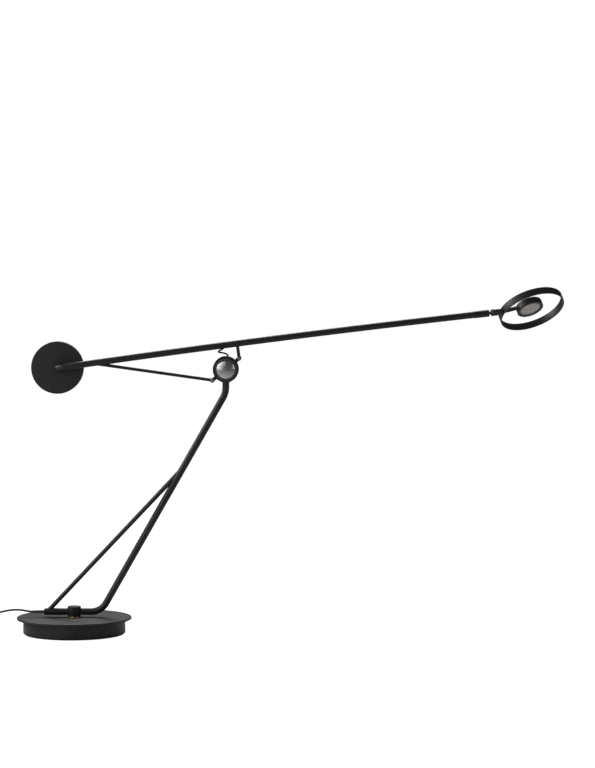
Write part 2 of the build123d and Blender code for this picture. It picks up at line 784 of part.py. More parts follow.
# ------------------------------------------------------------------ arm
loop_room = arm_height - arm_r - yoke_r  # between the yokes and the arm
loop_start = (loop_start_u, arm_height - arm_r + loop_start_depth)
loop_tip = (loop_tip_u, yoke_r + 0.68 * loop_room)
loop_turn = (loop_turn_u, yoke_r + 0.33 * loop_room)
bend_start = arm_axis(elbow_u + elbow_r)
arm_span = (arm_tip_u - elbow_u - elbow_r) / arm_spans
disc_centre = bend_start - arm_way(elbow_u + elbow_r) * elbow_r
with BuildPart() as arm_tube:
    with BuildLine() as arm_line:
        for span in range(arm_spans):
            starts_u = arm_tip_u - span * arm_span
            ends_u = starts_u - arm_span
            ThreePointArc(arm_axis(starts_u), arm_axis((starts_u + ends_u) / 2), arm_axis(ends_u))
        TangentArc(bend_start, disc_centre + back * elbow_r, tangent=disc_centre - bend_start)
        Line(disc_centre + back * elbow_r, disc_centre + back * elbow_leg)
    with BuildSketch(tip_section(0)):
        Circle(arm_r)
        Circle(arm_r - arm_wall, mode=Mode.SUBTRACT)
    sweep(path=arm_line.line)
    loop_hole_dir = arm_point(*loop_tip) - arm_point(*loop_start)
    with BuildSketch(Plane(origin=arm_point(*loop_start) - loop_hole_dir * 0.75, z_dir=loop_hole_dir)):
        Circle(wire_hole_r)
    extrude(amount=loop_hole_dir.length * 1.6, mode=Mode.SUBTRACT)
save(arm_tube, "arm_tube")

with BuildPart() as counterweight_insert:
    with BuildSketch(Plane(origin=disc_centre + back * elbow_leg, z_dir=back)):
        Circle(arm_r - arm_wall - seat_gap)
        Circle(disc_screw_r + seat_gap, mode=Mode.SUBTRACT)
    extrude(amount=-(elbow_leg - elbow_r - 0.5))
save(counterweight_insert, "counterweight_insert")

disc_back = disc_front + disc_thickness
with BuildPart() as counterweight_disc:
    with BuildSketch(Plane(origin=disc_centre + back * disc_front, z_dir=back)):
        Circle(disc_d / 2)
    extrude(amount=disc_thickness)
    rims = counterweight_disc.edges().filter_by(GeomType.CIRCLE)
    fillet(rims, radius=disc_edge_fillet)
    with BuildSketch(Plane(origin=disc_centre + back * disc_front, z_dir=back)):
        Circle(arm_r + seat_gap)
    extrude(amount=elbow_leg - disc_front, mode=Mode.SUBTRACT)
    with Locations(Plane(origin=disc_centre + back * disc_back, z_dir=back)):
        CounterBoreHole(
            disc_screw_r + free_gap,
            disc_washer_r + free_gap,
            disc_washer_thickness + disc_screw_head_height + disc_pocket_extra,
        )
save(counterweight_disc, "counterweight_disc")

washer_seat = disc_back - disc_washer_thickness - disc_screw_head_height - disc_pocket_extra
with BuildPart() as counterweight_washer:
    with BuildSketch(Plane(origin=disc_centre + back * washer_seat, z_dir=back)):
        Circle(disc_washer_r)
        Circle(disc_screw_r + free_gap, mode=Mode.SUBTRACT)
    extrude(amount=disc_washer_thickness)
save(counterweight_washer, "counterweight_washer")

screw_head_y = washer_seat + disc_washer_thickness
with BuildPart() as counterweight_screw:
    with BuildSketch(Plane(origin=disc_centre + back * screw_head_y, z_dir=back)):
        Circle(disc_screw_head_r)
    extrude(amount=disc_screw_head_height)
    fillet(counterweight_screw.edges().filter_by(GeomType.CIRCLE).sort_by(Axis.Y)[-1], radius=0.8)
    with BuildSketch(Plane(origin=disc_centre + back * screw_head_y, z_dir=front)):
        Circle(disc_screw_r)
    extrude(amount=screw_head_y - elbow_r - 0.5)
    with BuildSketch(Plane(origin=disc_centre + back * (screw_head_y + disc_screw_head_height), z_dir=front)):
        RegularPolygon(disc_screw_r, 6)
    extrude(amount=disc_screw_head_height * 0.6, mode=Mode.SUBTRACT)
save(counterweight_screw, "counterweight_screw")

loop_end_reach = core_r - 1.5
loop_bend_reach = yoke_r + 1.2
loop_cos = cos(radians(loop_end_angle))
loop_sin = sin(radians(loop_end_angle))
loop_end = (loop_cos * loop_end_reach, loop_sin * loop_end_reach)
loop_bend = (loop_cos * loop_bend_reach, loop_sin * loop_bend_reach)
loop_radii = [0.1 * loop_room, 0.22 * loop_room, 0.15 * loop_room]
with BuildPart() as wire_loop:
    with BuildLine(arm_plane()) as loop_line:
        FilletPolyline(loop_start, loop_tip, loop_turn, loop_bend, loop_end, radius=loop_radii)
    with BuildSketch(Plane(origin=loop_line.line @ 0, z_dir=loop_line.line % 0)):
        Circle(loop_wire_r)
    sweep(path=loop_line.line)
save(wire_loop, "wire_loop")

lead_floor = arm_height - arm_r + arm_wall + inner_lead_r + running_gap
lead_slope = (loop_start[1] - loop_tip[1]) / (loop_start[0] - loop_tip[0])
lead_rise_u = loop_start[0] + (lead_floor - loop_start[1]) / lead_slope
lead_end = (arm_tip_u - sleeve_spigot_length - 2, lead_floor)
with BuildPart() as arm_lead:
    with BuildLine(arm_plane()) as inner_line:
        FilletPolyline(loop_start, (lead_rise_u, lead_floor), lead_end, radius=3)
    with BuildSketch(Plane(origin=inner_line.line @ 0, z_dir=inner_line.line % 0)):
        Circle(inner_lead_r)
    sweep(path=inner_line.line)
save(arm_lead, "arm_lead")

# ------------------------------------------------------------------ sleeve, ball stud and its nut
nut_cavity_end = sleeve_length - stud_shank_length
with BuildPart() as tip_sleeve:
    with BuildSketch(tip_section(0)):
        Circle(sleeve_r)
    extrude(amount=sleeve_length)
    fillet(tip_sleeve.edges().filter_by(GeomType.CIRCLE), radius=sleeve_edge_fillet)
    with BuildSketch(tip_section(0)):
        Circle(arm_r - arm_wall - seat_gap)
    extrude(amount=-sleeve_spigot_length)
    with BuildSketch(tip_section(-sleeve_spigot_length)):
        Circle(nut_cavity_r)
    extrude(amount=nut_cavity_end + sleeve_spigot_length, mode=Mode.SUBTRACT)
    with BuildSketch(tip_section(nut_cavity_end)):
        Circle(stud_shank_r + running_gap)
    extrude(amount=stud_shank_length, mode=Mode.SUBTRACT)
save(tip_sleeve, "tip_sleeve")

stud_plane = Plane(origin=ball_centre, x_dir=tip_dir, z_dir=front)
stud_shoulder = -ball_reach - stud_shank_length
stud_tail = stud_shoulder - stud_washer_thickness - stud_nut_length
flange_face = running_gap - ball_reach
cone_start = flange_face + stud_flange_length
cone_end = -sqrt(ball_r**2 - stud_neck_r**2)
bore_exit = sqrt(ball_r**2 - stud_bore_r**2)
with BuildPart() as ball_stud:
    with BuildSketch(stud_plane):
        with BuildLine():
            Polyline(
                (bore_exit, stud_bore_r),
                (stud_tail, stud_bore_r),
                (stud_tail, stud_thread_r),
                (stud_shoulder, stud_thread_r),
                (stud_shoulder, stud_shank_r),
                (flange_face, stud_shank_r),
                (flange_face, stud_flange_r),
                (cone_start, stud_flange_r),
                (cone_start + (stud_flange_r - stud_neck_r) / 2, stud_neck_r),
                (cone_end, stud_neck_r),
            )
            ThreePointArc((cone_end, stud_neck_r), (0, ball_r), (bore_exit, stud_bore_r))
        make_face()
    revolve(axis=Axis(ball_centre, tip_dir))
save(ball_stud, "ball_stud")

with BuildPart() as stud_nut:
    with BuildSketch(tip_section(nut_cavity_end - stud_washer_thickness)):
        Circle(stud_nut_r)
        Circle(stud_thread_r + seat_gap, mode=Mode.SUBTRACT)
    extrude(amount=-stud_nut_length)
save(stud_nut, "stud_nut")

with BuildPart() as stud_washer:
    with BuildSketch(tip_section(nut_cavity_end)):
        Circle(stud_nut_r)
        Circle(stud_thread_r + seat_gap, mode=Mode.SUBTRACT)
    extrude(amount=-stud_washer_thickness)
save(stud_washer, "stud_washer")

# ------------------------------------------------------------------ socket on the neck's axis
socket_plane = Plane(origin=ball_centre, x_dir=neck_dir, z_dir=light_dir)
mouth_r = sqrt(ball_bore_r**2 - liner_mouth**2)
liner_exit = sqrt(ball_bore_r**2 - (stud_bore_r + free_gap) ** 2)
wire_bore_r = stud_bore_r + free_gap
with BuildPart() as socket_liner:
    with BuildSketch(socket_plane):
        with BuildLine():
            Polyline(
                (-liner_mouth, mouth_r),
                (-liner_mouth, liner_r),
                (liner_back, liner_r),
                (liner_back, wire_bore_r),
                (liner_exit, wire_bore_r),
            )
            ThreePointArc((liner_exit, wire_bore_r), (0, ball_bore_r), (-liner_mouth, mouth_r))
        make_face()
    revolve(axis=Axis(ball_centre, neck_dir))
save(socket_liner, "socket_liner")

with BuildPart() as socket_cap:
    with BuildSketch(socket_plane):
        with BuildLine():
            Polyline(
                (-socket_cap_mouth, socket_mouth_r),
                (-socket_cap_mouth, socket_cap_r),
                (-socket_cap_back, socket_cap_r),
                (-socket_cap_back, liner_r + running_gap),
                (-liner_mouth, liner_r + running_gap),
                (-liner_mouth, mouth_r),
                close=True,
            )
        make_face()
    revolve(axis=Axis(ball_centre, neck_dir))
    rims = socket_cap.edges().filter_by(GeomType.CIRCLE).sort_by(SortBy.RADIUS)[-2:]
    fillet(rims.sort_by(Axis(ball_centre, neck_dir))[0], radius=socket_cap_fillet)
save(socket_cap, "socket_cap")

with BuildPart() as socket_neck:
    with BuildSketch(neck_section(-socket_cap_back)):
        Circle(socket_r)
    extrude(amount=ball_to_ring - ring_r + socket_cap_back + ring_wall)
    with BuildSketch(neck_section(-socket_cap_back)):
        Circle(liner_r + running_gap)
    extrude(amount=liner_back + socket_cap_back, mode=Mode.SUBTRACT)
    with BuildSketch(neck_section(liner_back)):
        Circle(wire_bore_r)
    extrude(amount=ball_to_ring, mode=Mode.SUBTRACT)
    with BuildSketch(head_plane(-socket_r * 2)):
        Circle(ring_r)
    extrude(amount=socket_r * 4, mode=Mode.SUBTRACT)
save(socket_neck, "socket_neck")

# ------------------------------------------------------------------ ring band and inner arm
with BuildPart() as ring_band:
    with BuildSketch(head_plane(-ring_height / 2)):
        Circle(ring_r)
        Circle(ring_r - ring_wall, mode=Mode.SUBTRACT)
    extrude(amount=ring_height)
    fillet(ring_band.edges().filter_by(GeomType.CIRCLE), radius=ring_edge_fillet)
    with BuildSketch(neck_section(0)):
        Circle(wire_bore_r)
    extrude(amount=ball_to_ring, mode=Mode.SUBTRACT)
save(ring_band, "ring_band")

ring_bore_r = ring_r - ring_wall
inner_arm_start = ring_centre - neck_dir * ring_r
inner_arm_end = puck_centre - neck_dir * (puck_r - puck_wall) - light_dir * (puck_height / 2)
inner_arm_dir = (inner_arm_end - inner_arm_start).normalized()
puck_screw_axis = inner_arm_dir.cross(light_dir).normalized() * -1
puck_screw_place = inner_arm_end - inner_arm_dir * (puck_wall + puck_screw_inset)
puck_screw_seat = Plane(origin=puck_screw_place + puck_screw_axis * puck_screw_floor, z_dir=puck_screw_axis)
with BuildPart() as inner_arm:
    with BuildSketch(Plane(origin=inner_arm_start, z_dir=inner_arm_dir)):
        Circle(inner_arm_r)
    extrude(amount=(inner_arm_end - inner_arm_start).length)
    with BuildSketch(head_plane(-ring_height)):
        Circle(ring_r * 1.5)
        Circle(ring_bore_r - running_gap, mode=Mode.SUBTRACT)
    extrude(amount=ring_height * 2, mode=Mode.SUBTRACT)
    with BuildSketch(puck_plane(-puck_height * 2)):
        Circle(puck_r + seat_gap)
    extrude(amount=puck_height * 3, mode=Mode.SUBTRACT)
    with BuildSketch(Plane(origin=inner_arm_start, z_dir=inner_arm_dir)):
        Circle(wire_bore_r)
    extrude(amount=ring_r, mode=Mode.SUBTRACT)
    with BuildSketch(puck_screw_seat):
        Circle(puck_screw_r + seat_gap)
    extrude(amount=inner_arm_r, mode=Mode.SUBTRACT)
save(inner_arm, "inner_arm")

# ------------------------------------------------------------------ light puck
with BuildPart() as puck_housing:
    with BuildSketch(puck_plane(0)):
        Circle(puck_r)
    extrude(amount=-puck_height)
    back_edge = puck_housing.faces().sort_by(Axis(puck_centre, light_dir))[0].edges()
    fillet(back_edge, radius=puck_back_fillet)
    with BuildSketch(puck_plane(0)):
        Circle(puck_r - puck_wall)
    extrude(amount=-(puck_height - puck_wall), mode=Mode.SUBTRACT)
    with BuildSketch(Plane(origin=inner_arm_start, z_dir=inner_arm_dir)):
        Circle(wire_bore_r)
    extrude(amount=ring_r - puck_r + 2 * puck_wall + 2, mode=Mode.SUBTRACT)
save(puck_housing, "puck_housing")

heat_plate_back = puck_height - puck_wall
led_board_back = heat_plate_back - heat_plate_thickness
led_board_front = led_board_back - led_board_thickness
with BuildPart() as heat_plate:
    with BuildSketch(puck_plane(-heat_plate_back)):
        Circle(puck_r - puck_wall - seat_gap)
    extrude(amount=heat_plate_thickness)
save(heat_plate, "heat_plate")

with BuildPart() as led_board:
    with BuildSketch(puck_plane(-led_board_back)):
        Circle(led_board_r)
    extrude(amount=led_board_thickness)
save(led_board, "led_board")

with BuildPart() as led_chips:
    with BuildSketch(puck_plane(-led_board_front)):
        with PolarLocations(led_circle_r, led_count):
            Rectangle(led_side, led_side)
        Rectangle(led_side, led_side)
    extrude(amount=led_height)
save(led_chips, "led_chips")

bezel_back = bezel_recess + bezel_thickness
with BuildPart() as light_bezel:
    with BuildSketch(puck_plane(-bezel_back)):
        Circle(puck_r - puck_wall - seat_gap)
        Circle(bezel_inner_r, mode=Mode.SUBTRACT)
    extrude(amount=bezel_thickness)
    inner_front = light_bezel.edges().filter_by(GeomType.CIRCLE).sort_by(SortBy.RADIUS)[:2]
    chamfer(inner_front.sort_by(Axis(puck_centre, light_dir))[-1], length=bezel_thickness * 0.6)
save(light_bezel, "light_bezel")

with BuildPart() as diffuser:
    with BuildSketch(puck_plane(-bezel_back)):
        Circle(diffuser_r)
    extrude(amount=-diffuser_thickness)
save(diffuser, "diffuser")

reflector_front = bezel_back + diffuser_thickness
with BuildPart() as reflector:
    with BuildSketch(puck_plane(-reflector_front)):
        Circle(diffuser_r)
        Circle(diffuser_r - reflector_wall, mode=Mode.SUBTRACT)
    extrude(amount=-(led_board_front - reflector_front))
save(reflector, "reflector")

with BuildPart() as puck_screw:
    with BuildSketch(puck_screw_seat):
        Circle(puck_screw_r)
    extrude(amount=puck_screw_length)
save(puck_screw, "puck_screw")

# ------------------------------------------------------------------ mains cord, coil, tie and adapter
cord_r = cord_d / 2
coil_pitch = cord_d + loop_gap
coil_floor_z = tie_thickness + tie_gap + cord_r
layer_turns = coil_turns / coil_layers
coil_outer_r = coil_mean_r + coil_pitch * layer_turns / 2
coil_inner_r = coil_mean_r - coil_pitch * layer_turns / 2


def coil_state(turn):
    """Centre point and direction of the wound cord after a number of turns, clockwise from above."""

    def point(t):
        layer = min(int(t / layer_turns), coil_layers - 1)
        within = t / layer_turns - layer
        inward = within if layer % 2 == 0 else 1 - within
        radius = coil_outer_r - coil_pitch * layer_turns * inward
        height = 0.0
        for step in range(1, coil_layers):
            start = step * layer_turns - 0.25
            share = min(max((t - start) / 0.5, 0), 1)
            height += share * share * (3 - 2 * share)
        angle = -pi / 2 - 2 * pi * t
        return Vector(
            coil_centre[0] + radius * cos(angle),
            coil_centre[1] + radius * sin(angle),
            coil_floor_z + height * coil_pitch,
        )

    step = 1e-3
    low, high = max(turn - step, 0), min(turn + step, coil_turns)
    return point(turn), (point(high) - point(low)).normalized()


def biarc(start, start_dir, end, end_dir):
    """The two arcs that leave start along start_dir and reach end along end_dir."""
    chord = end - start
    both = start_dir + end_dir
    a = 2 * (1 - start_dir.dot(end_dir))
    b = chord.dot(both)
    reach = (-b + sqrt(b * b + a * chord.dot(chord))) / a
    joint = (start + end + (start_dir - end_dir) * reach) / 2
    half = (joint - start).normalized()
    TangentArc(start, joint, tangent=start_dir)
    TangentArc(joint, end, tangent=half * (2 * half.dot(start_dir)) - start_dir)


quarter_turns = round(coil_turns * 4)
with BuildPart() as cord_coil:
    with BuildLine() as coil_path:
        for quarter in range(quarter_turns):
            p0, t0 = coil_state(quarter / 4)
            p1, t1 = coil_state((quarter + 1) / 4)
            biarc(p0, t0, p1, t1)
    with BuildSketch(Plane(origin=coil_state(0)[0], z_dir=coil_state(0)[1])):
        Circle(cord_r)
    sweep(path=coil_path.line)
save(cord_coil, "cord_coil")


def least_self_gap(line, diameter, apart):
    """The least free space of a tube to itself, between points more than `apart` along it."""
    count = int(line.length / 1.5)
    points = [line @ (i / count) for i in range(count + 1)]
    skip = int(apart / line.length * count)
    least = min(
        (points[i] - points[j]).length for i in range(count + 1) for j in range(i + skip, count + 1)
    )
    return least - diameter


coil_wire = coil_path.wire()
print(f"coil: {coil_wire.length:.0f} mm long, least gap {least_self_gap(coil_wire, cord_d, 60):.2f} mm")


def bend_radii(points):
    """Each corner's arc: 0.45 of the shorter run over the tangent of half the turn."""
    radii = []
    for before, corner, after in zip(points, points[1:], points[2:]):
        run_in = Vector(*corner) - Vector(*before)
        run_out = Vector(*after) - Vector(*corner)
        turn = radians(run_in.get_angle(run_out))
        radii.append(0.45 * min(run_in.length, run_out.length) / tan(turn / 2))
    return radii


def cord_tube(points):
    """A cord's tube: straight runs joined by tangent arcs."""
    radii = bend_radii(points)
    with BuildPart() as tube:
        with BuildLine() as run:
            FilletPolyline(*points, radius=radii)
        with BuildSketch(Plane(origin=points[0], z_dir=Vector(*points[1]) - Vector(*points[0]))):
            Circle(cord_r)
        sweep(path=run.line)
    length = run.wire().length
    expected = pi * cord_r**2 * length
    print(
        f"cord: {length:.0f} mm, radii {[round(r) for r in radii]}, "
        f"volume {tube.part.volume / expected:.4f} of section times length"
    )
    return tube


coil_start, coil_start_dir = coil_state(0)
coil_end, coil_end_dir = coil_state(coil_turns)
relief_end = (relief_end_x, 0, foot_z)
mains_cord = cord_tube([relief_end, *cord_route, coil_start - coil_start_dir * coil_lead_in, coil_start])
save(mains_cord, "mains_cord")

adapter_y = coil_end.Y + 2.6
adapter_axis_z = adapter_height / 2
tail_end = Vector(adapter_start_x - adapter_relief_length, adapter_y, adapter_axis_z)
cord_tail = cord_tube(
    [coil_end, coil_end + coil_end_dir * tail_lead, tail_end - Vector(tail_lead, 0, 0), tail_end]
)
save(cord_tail, "cord_tail")

# The tie's loop is square to the coil on its far left side
tie_top = coil_floor_z + coil_pitch * (coil_layers - 1) + cord_r + tie_gap + tie_thickness
tie_outer = coil_outer_r + cord_r + tie_gap + tie_thickness
tie_inner = sqrt((coil_inner_r - cord_r) ** 2 - (tie_width / 2) ** 2) - tie_gap - tie_thickness
tie_middle = (coil_centre[0] - (tie_outer + tie_inner) / 2, coil_centre[1], tie_top / 2)
tie_width_x = tie_outer - tie_inner
with BuildPart() as cord_tie:
    with BuildSketch(Plane(origin=tie_middle, x_dir=(1, 0, 0), z_dir=(0, 1, 0))):
        RectangleRounded(tie_width_x, tie_top, 2 * tie_thickness)
        RectangleRounded(
            tie_width_x - 2 * tie_thickness, tie_top - 2 * tie_thickness, tie_thickness, mode=Mode.SUBTRACT
        )
    extrude(amount=tie_width / 2, both=True)
save(cord_tie, "cord_tie")

with BuildPart() as adapter_relief:
    with BuildSketch(Plane(origin=tail_end, z_dir=(1, 0, 0))):
        Circle(adapter_relief_tip_r)
    with BuildSketch(Plane(origin=tail_end + Vector(adapter_relief_length, 0, 0), z_dir=(1, 0, 0))):
        Circle(adapter_relief_root_r)
    loft()
save(adapter_relief, "adapter_relief")

adapter_centre_x = adapter_start_x + adapter_length / 2
pin_face = Plane(
    origin=(adapter_centre_x, adapter_y + adapter_depth / 2, adapter_axis_z), x_dir=(1, 0, 0), z_dir=(0, 1, 0)
)
with BuildPart() as plug_adapter:
    with Locations((adapter_centre_x, adapter_y, adapter_axis_z)):
        Box(adapter_length, adapter_depth, adapter_height)
    fillet(plug_adapter.edges().filter_by(Axis.Y), radius=adapter_corner_r)
    fillet(plug_adapter.edges().group_by(Axis.Y)[0], radius=adapter_corner_r / 2)
    with BuildSketch(pin_face):
        with GridLocations(pin_spacing, 0, 2, 1):
            Circle(pin_sleeve_r)
    extrude(amount=pin_sleeve_length)
    with BuildSketch(pin_face.offset(-pin_root)):
        with GridLocations(pin_spacing, 0, 2, 1):
            Circle(pin_core_r + seat_gap)
    extrude(amount=pin_root + pin_sleeve_length, mode=Mode.SUBTRACT)
save(plug_adapter, "plug_adapter")

with BuildPart() as plug_pins:
    with BuildSketch(pin_face.offset(-pin_root)):
        with GridLocations(pin_spacing, 0, 2, 1):
            Circle(pin_core_r)
    extrude(amount=pin_root + pin_sleeve_length)
    with BuildSketch(pin_face.offset(pin_sleeve_length)):
        with GridLocations(pin_spacing, 0, 2, 1):
            Circle(pin_r)
    extrude(amount=pin_length - pin_sleeve_length)
    fillet(plug_pins.edges().group_by(Axis.Y)[-1], radius=pin_r * 0.6)
save(plug_pins, "plug_pins")
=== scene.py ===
"""Dresses the counterweight balance desk lamp and sets it in a plain white studio.

Metres, +Z up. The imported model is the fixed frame; round and bent pieces are remade here as smooth
surfaces in the same places, and every piece gets a procedural finish.
"""

from __future__ import annotations

import json
import logging
import math
from collections.abc import Sequence
from dataclasses import dataclass
from enum import Enum

import bmesh
import bpy
import numpy as np
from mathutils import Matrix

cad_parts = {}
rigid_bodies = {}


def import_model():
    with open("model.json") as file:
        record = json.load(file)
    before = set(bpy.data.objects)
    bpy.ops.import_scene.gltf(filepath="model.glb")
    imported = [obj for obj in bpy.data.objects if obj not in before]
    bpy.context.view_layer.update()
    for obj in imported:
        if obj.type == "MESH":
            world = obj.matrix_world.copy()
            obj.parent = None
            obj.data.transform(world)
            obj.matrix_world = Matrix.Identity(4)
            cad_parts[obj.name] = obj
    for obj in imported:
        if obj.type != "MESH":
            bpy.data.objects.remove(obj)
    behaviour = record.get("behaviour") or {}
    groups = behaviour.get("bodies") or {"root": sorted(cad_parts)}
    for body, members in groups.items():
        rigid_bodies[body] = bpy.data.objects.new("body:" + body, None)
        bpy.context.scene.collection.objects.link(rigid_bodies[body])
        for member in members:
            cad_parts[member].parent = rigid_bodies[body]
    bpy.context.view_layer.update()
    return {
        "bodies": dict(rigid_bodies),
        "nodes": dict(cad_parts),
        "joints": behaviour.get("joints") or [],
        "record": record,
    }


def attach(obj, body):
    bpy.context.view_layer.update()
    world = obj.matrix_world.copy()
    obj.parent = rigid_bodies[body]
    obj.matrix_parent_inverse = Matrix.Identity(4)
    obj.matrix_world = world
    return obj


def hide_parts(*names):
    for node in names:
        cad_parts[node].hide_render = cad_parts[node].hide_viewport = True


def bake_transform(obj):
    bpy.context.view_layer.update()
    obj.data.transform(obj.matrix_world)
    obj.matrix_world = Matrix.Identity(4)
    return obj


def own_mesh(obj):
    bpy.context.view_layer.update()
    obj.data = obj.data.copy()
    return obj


LOG = logging.getLogger("balance_lamp")


class Body(str, Enum):
    """The rigid bodies that the remade pieces ride on."""

    BASE = "base"
    STEM = "stem"
    CAP = "cap"
    ARM = "arm"
    HEAD = "head"


# ------------------------------------------------------------------ shader expressions


class Tap:
    """A shader socket whose arithmetic adds Math nodes."""

    def __init__(self, shader: Shader, socket: bpy.types.NodeSocket) -> None:
        """Keeps the socket and the shader that it belongs to."""
        self.shader = shader
        self.socket = socket

    def _math(self, operation: str, *values: Tap | float) -> Tap:
        """One Math node on these values."""
        return self.shader.node("ShaderNodeMath", {"operation": operation}, dict(enumerate(values)))

    def __add__(self, other: Tap | float) -> Tap:
        """self + other."""
        return self._math("ADD", self, other)

    __radd__ = __add__

    def __sub__(self, other: Tap | float) -> Tap:
        """self - other."""
        return self._math("SUBTRACT", self, other)

    def __rsub__(self, other: Tap | float) -> Tap:
        """other - self."""
        return self._math("SUBTRACT", other, self)

    def __mul__(self, other: Tap | float) -> Tap:
        """self * other."""
        return self._math("MULTIPLY", self, other)

    __rmul__ = __mul__

    def __truediv__(self, other: Tap | float) -> Tap:
        """self / other."""
        return self._math("DIVIDE", self, other)

    def __rtruediv__(self, other: Tap | float) -> Tap:
        """other / self."""
        return self._math("DIVIDE", other, self)

    def __abs__(self) -> Tap:
        """The size of self."""
        return self._math("ABSOLUTE", self)

    def __lt__(self, other: Tap | float) -> Tap:
        """1 where self is under other, else 0."""
        return self._math("LESS_THAN", self, other)

    def __gt__(self, other: Tap | float) -> Tap:
        """1 where self is over other, else 0."""
        return self._math("GREATER_THAN", self, other)

    def sine(self) -> Tap:
        """The sine of self, in radians."""
        return self._math("SINE", self)

    def root(self) -> Tap:
        """The square root of self."""
        return self._math("SQRT", self)

    def smooth(self, low: float, high: float) -> Tap:
        """0 under low, 1 over high and a smooth rise between."""
        links = {"Value": self, "From Min": low, "From Max": high}
        return self.shader.node("ShaderNodeMapRange", {"interpolation_type": "SMOOTHSTEP"}, links)


Colour = tuple[float, float, float]


class Shader:
    """A material under construction: one Principled surface and what feeds it."""

    def __init__(
        self, name: str, colour: Colour, roughness: float, metallic: float = 0.0, specular: float = 0.5
    ) -> None:
        """Starts a material with these constants on its Principled sockets."""
        self.material = bpy.data.materials.new(name)
        self.material.use_nodes = True
        self.material.diffuse_color = (*colour, 1.0)
        self.tree = self.material.node_tree
        self.surface = next(n for n in self.tree.nodes if n.type == "BSDF_PRINCIPLED")
        self.set("Base Color", (*colour, 1.0))
        self.set("Roughness", roughness)
        self.set("Metallic", metallic)
        self.set("Specular IOR Level", specular)
        self.place = self.node("ShaderNodeTexCoord", output="Object")

    def set(self, socket: str, value: Tap | float | tuple[float, ...]) -> None:
        """Links or sets one socket of the Principled surface."""
        self._put(self.surface.inputs[socket], value)

    def _put(self, socket: bpy.types.NodeSocket, value: Tap | float | tuple[float, ...]) -> None:
        """Links a tap to a socket, or sets the socket's own value."""
        if isinstance(value, Tap):
            self.tree.links.new(value.socket, socket)
        else:
            socket.default_value = value

    def node(
        self,
        kind: str,
        settings: dict[str, object] | None = None,
        links: dict[str | int, object] | None = None,
        output: str | int = 0,
    ) -> Tap:
        """Adds a node.

        Args:
            kind: the node's type name.
            settings: its properties, which are set first.
            links: its sockets, by name or number, with a tap or a value for each.
            output: the output socket that is wanted.

        Returns:
            That output as a tap.
        """
        made = self.tree.nodes.new(kind)
        for key, value in (settings or {}).items():
            setattr(made, key, value)
        for key, value in (links or {}).items():
            self._put(made.inputs[key], value)
        return Tap(self, made.outputs[output])

    def noise(self, scale: float, detail: float = 2.0, rough: float = 0.5, where: Tap | None = None) -> Tap:
        """Noise from 0 to 1 with features about 1/scale metres wide."""
        links = {"Vector": where or self.place, "Scale": scale, "Detail": detail, "Roughness": rough}
        return self.node("ShaderNodeTexNoise", None, links, "Fac")

    def axes(self, centre: Sequence[float], basis: Sequence[Sequence[float]]) -> list[Tap]:
        """Distances from a centre along three directions, as the dot product with each."""
        links = {0: self.place, 1: tuple(centre)}
        offset = self.node("ShaderNodeVectorMath", {"operation": "SUBTRACT"}, links)
        taps = []
        for direction in basis:
            links = {0: offset, 1: tuple(float(c) for c in direction)}
            taps.append(self.node("ShaderNodeVectorMath", {"operation": "DOT_PRODUCT"}, links, "Value"))
        return taps

    def mix(self, amount: Tap, low: Colour, high: Colour) -> Tap:
        """A colour between low and high."""
        links = {0: amount, 6: (*low, 1.0), 7: (*high, 1.0)}
        return self.node("ShaderNodeMix", {"data_type": "RGBA"}, links, 2)

    def bump(self, height: Tap, depth: float) -> None:
        """Raises the surface by height times depth metres, as shading."""
        links = {"Height": height, "Distance": depth, "Strength": 1.0}
        self.set("Normal", self.node("ShaderNodeBump", None, links))


# ------------------------------------------------------------------ finishes


@dataclass(frozen=True)
class PowderCoat:
    """Fine-textured satin black powder paint."""

    name: str = "powder_coat"
    tone: float = 0.0052
    lift: float = 0.0045
    roughness: float = 0.40
    specular: float = 0.21
    grain: float = 2600.0
    depth: float = 0.00003

    def shader(self) -> Shader:
        """The paint: orange-peel grain in the bump, and cloudy wear in the gloss."""
        paint = Shader(self.name, (self.tone,) * 3, self.roughness, specular=self.specular)
        cloud = paint.noise(28.0, 3.0)
        grain = paint.noise(self.grain, 1.0)
        dust = paint.noise(420.0, 2.0).smooth(0.62, 0.78)
        low = (self.tone, self.tone, self.tone * 1.03)
        high = (self.tone + self.lift, self.tone + self.lift, (self.tone + self.lift) * 1.02)
        paint.set("Base Color", paint.mix(cloud * 0.6 + dust * 0.4, low, high))
        paint.set("Roughness", self.roughness - 0.05 + cloud * 0.10 + grain * 0.06)
        paint.bump(grain + cloud * 0.6, self.depth)
        return paint

    def material(self) -> bpy.types.Material:
        """The finished material."""
        return self.shader().material


@dataclass(frozen=True)
class SeamedCoat(PowderCoat):
    """The same paint over a band whose two ends meet in a fine butt seam."""

    name: str = "powder_coat_band"
    centre: tuple[float, float, float] = (0.0, 0.0, 0.0)
    across: tuple[float, float, float] = (1.0, 0.0, 0.0)
    outward: tuple[float, float, float] = (0.0, 1.0, 0.0)
    width: float = 0.00022

    def material(self) -> bpy.types.Material:
        """Paint with a dark line where the distance along `across` is small on the outward side."""
        paint = self.shader()
        along, side = paint.axes(self.centre, (self.across, self.outward))
        seam = (abs(along) < self.width) * (side > 0.0)
        tone = self.tone + self.lift * 0.5
        paint.set("Base Color", paint.mix(seam, (tone,) * 3, (0.003,) * 3))
        grain = paint.noise(self.grain, 1.0)
        paint.bump(grain - seam * 6.0, self.depth)
        return paint.material


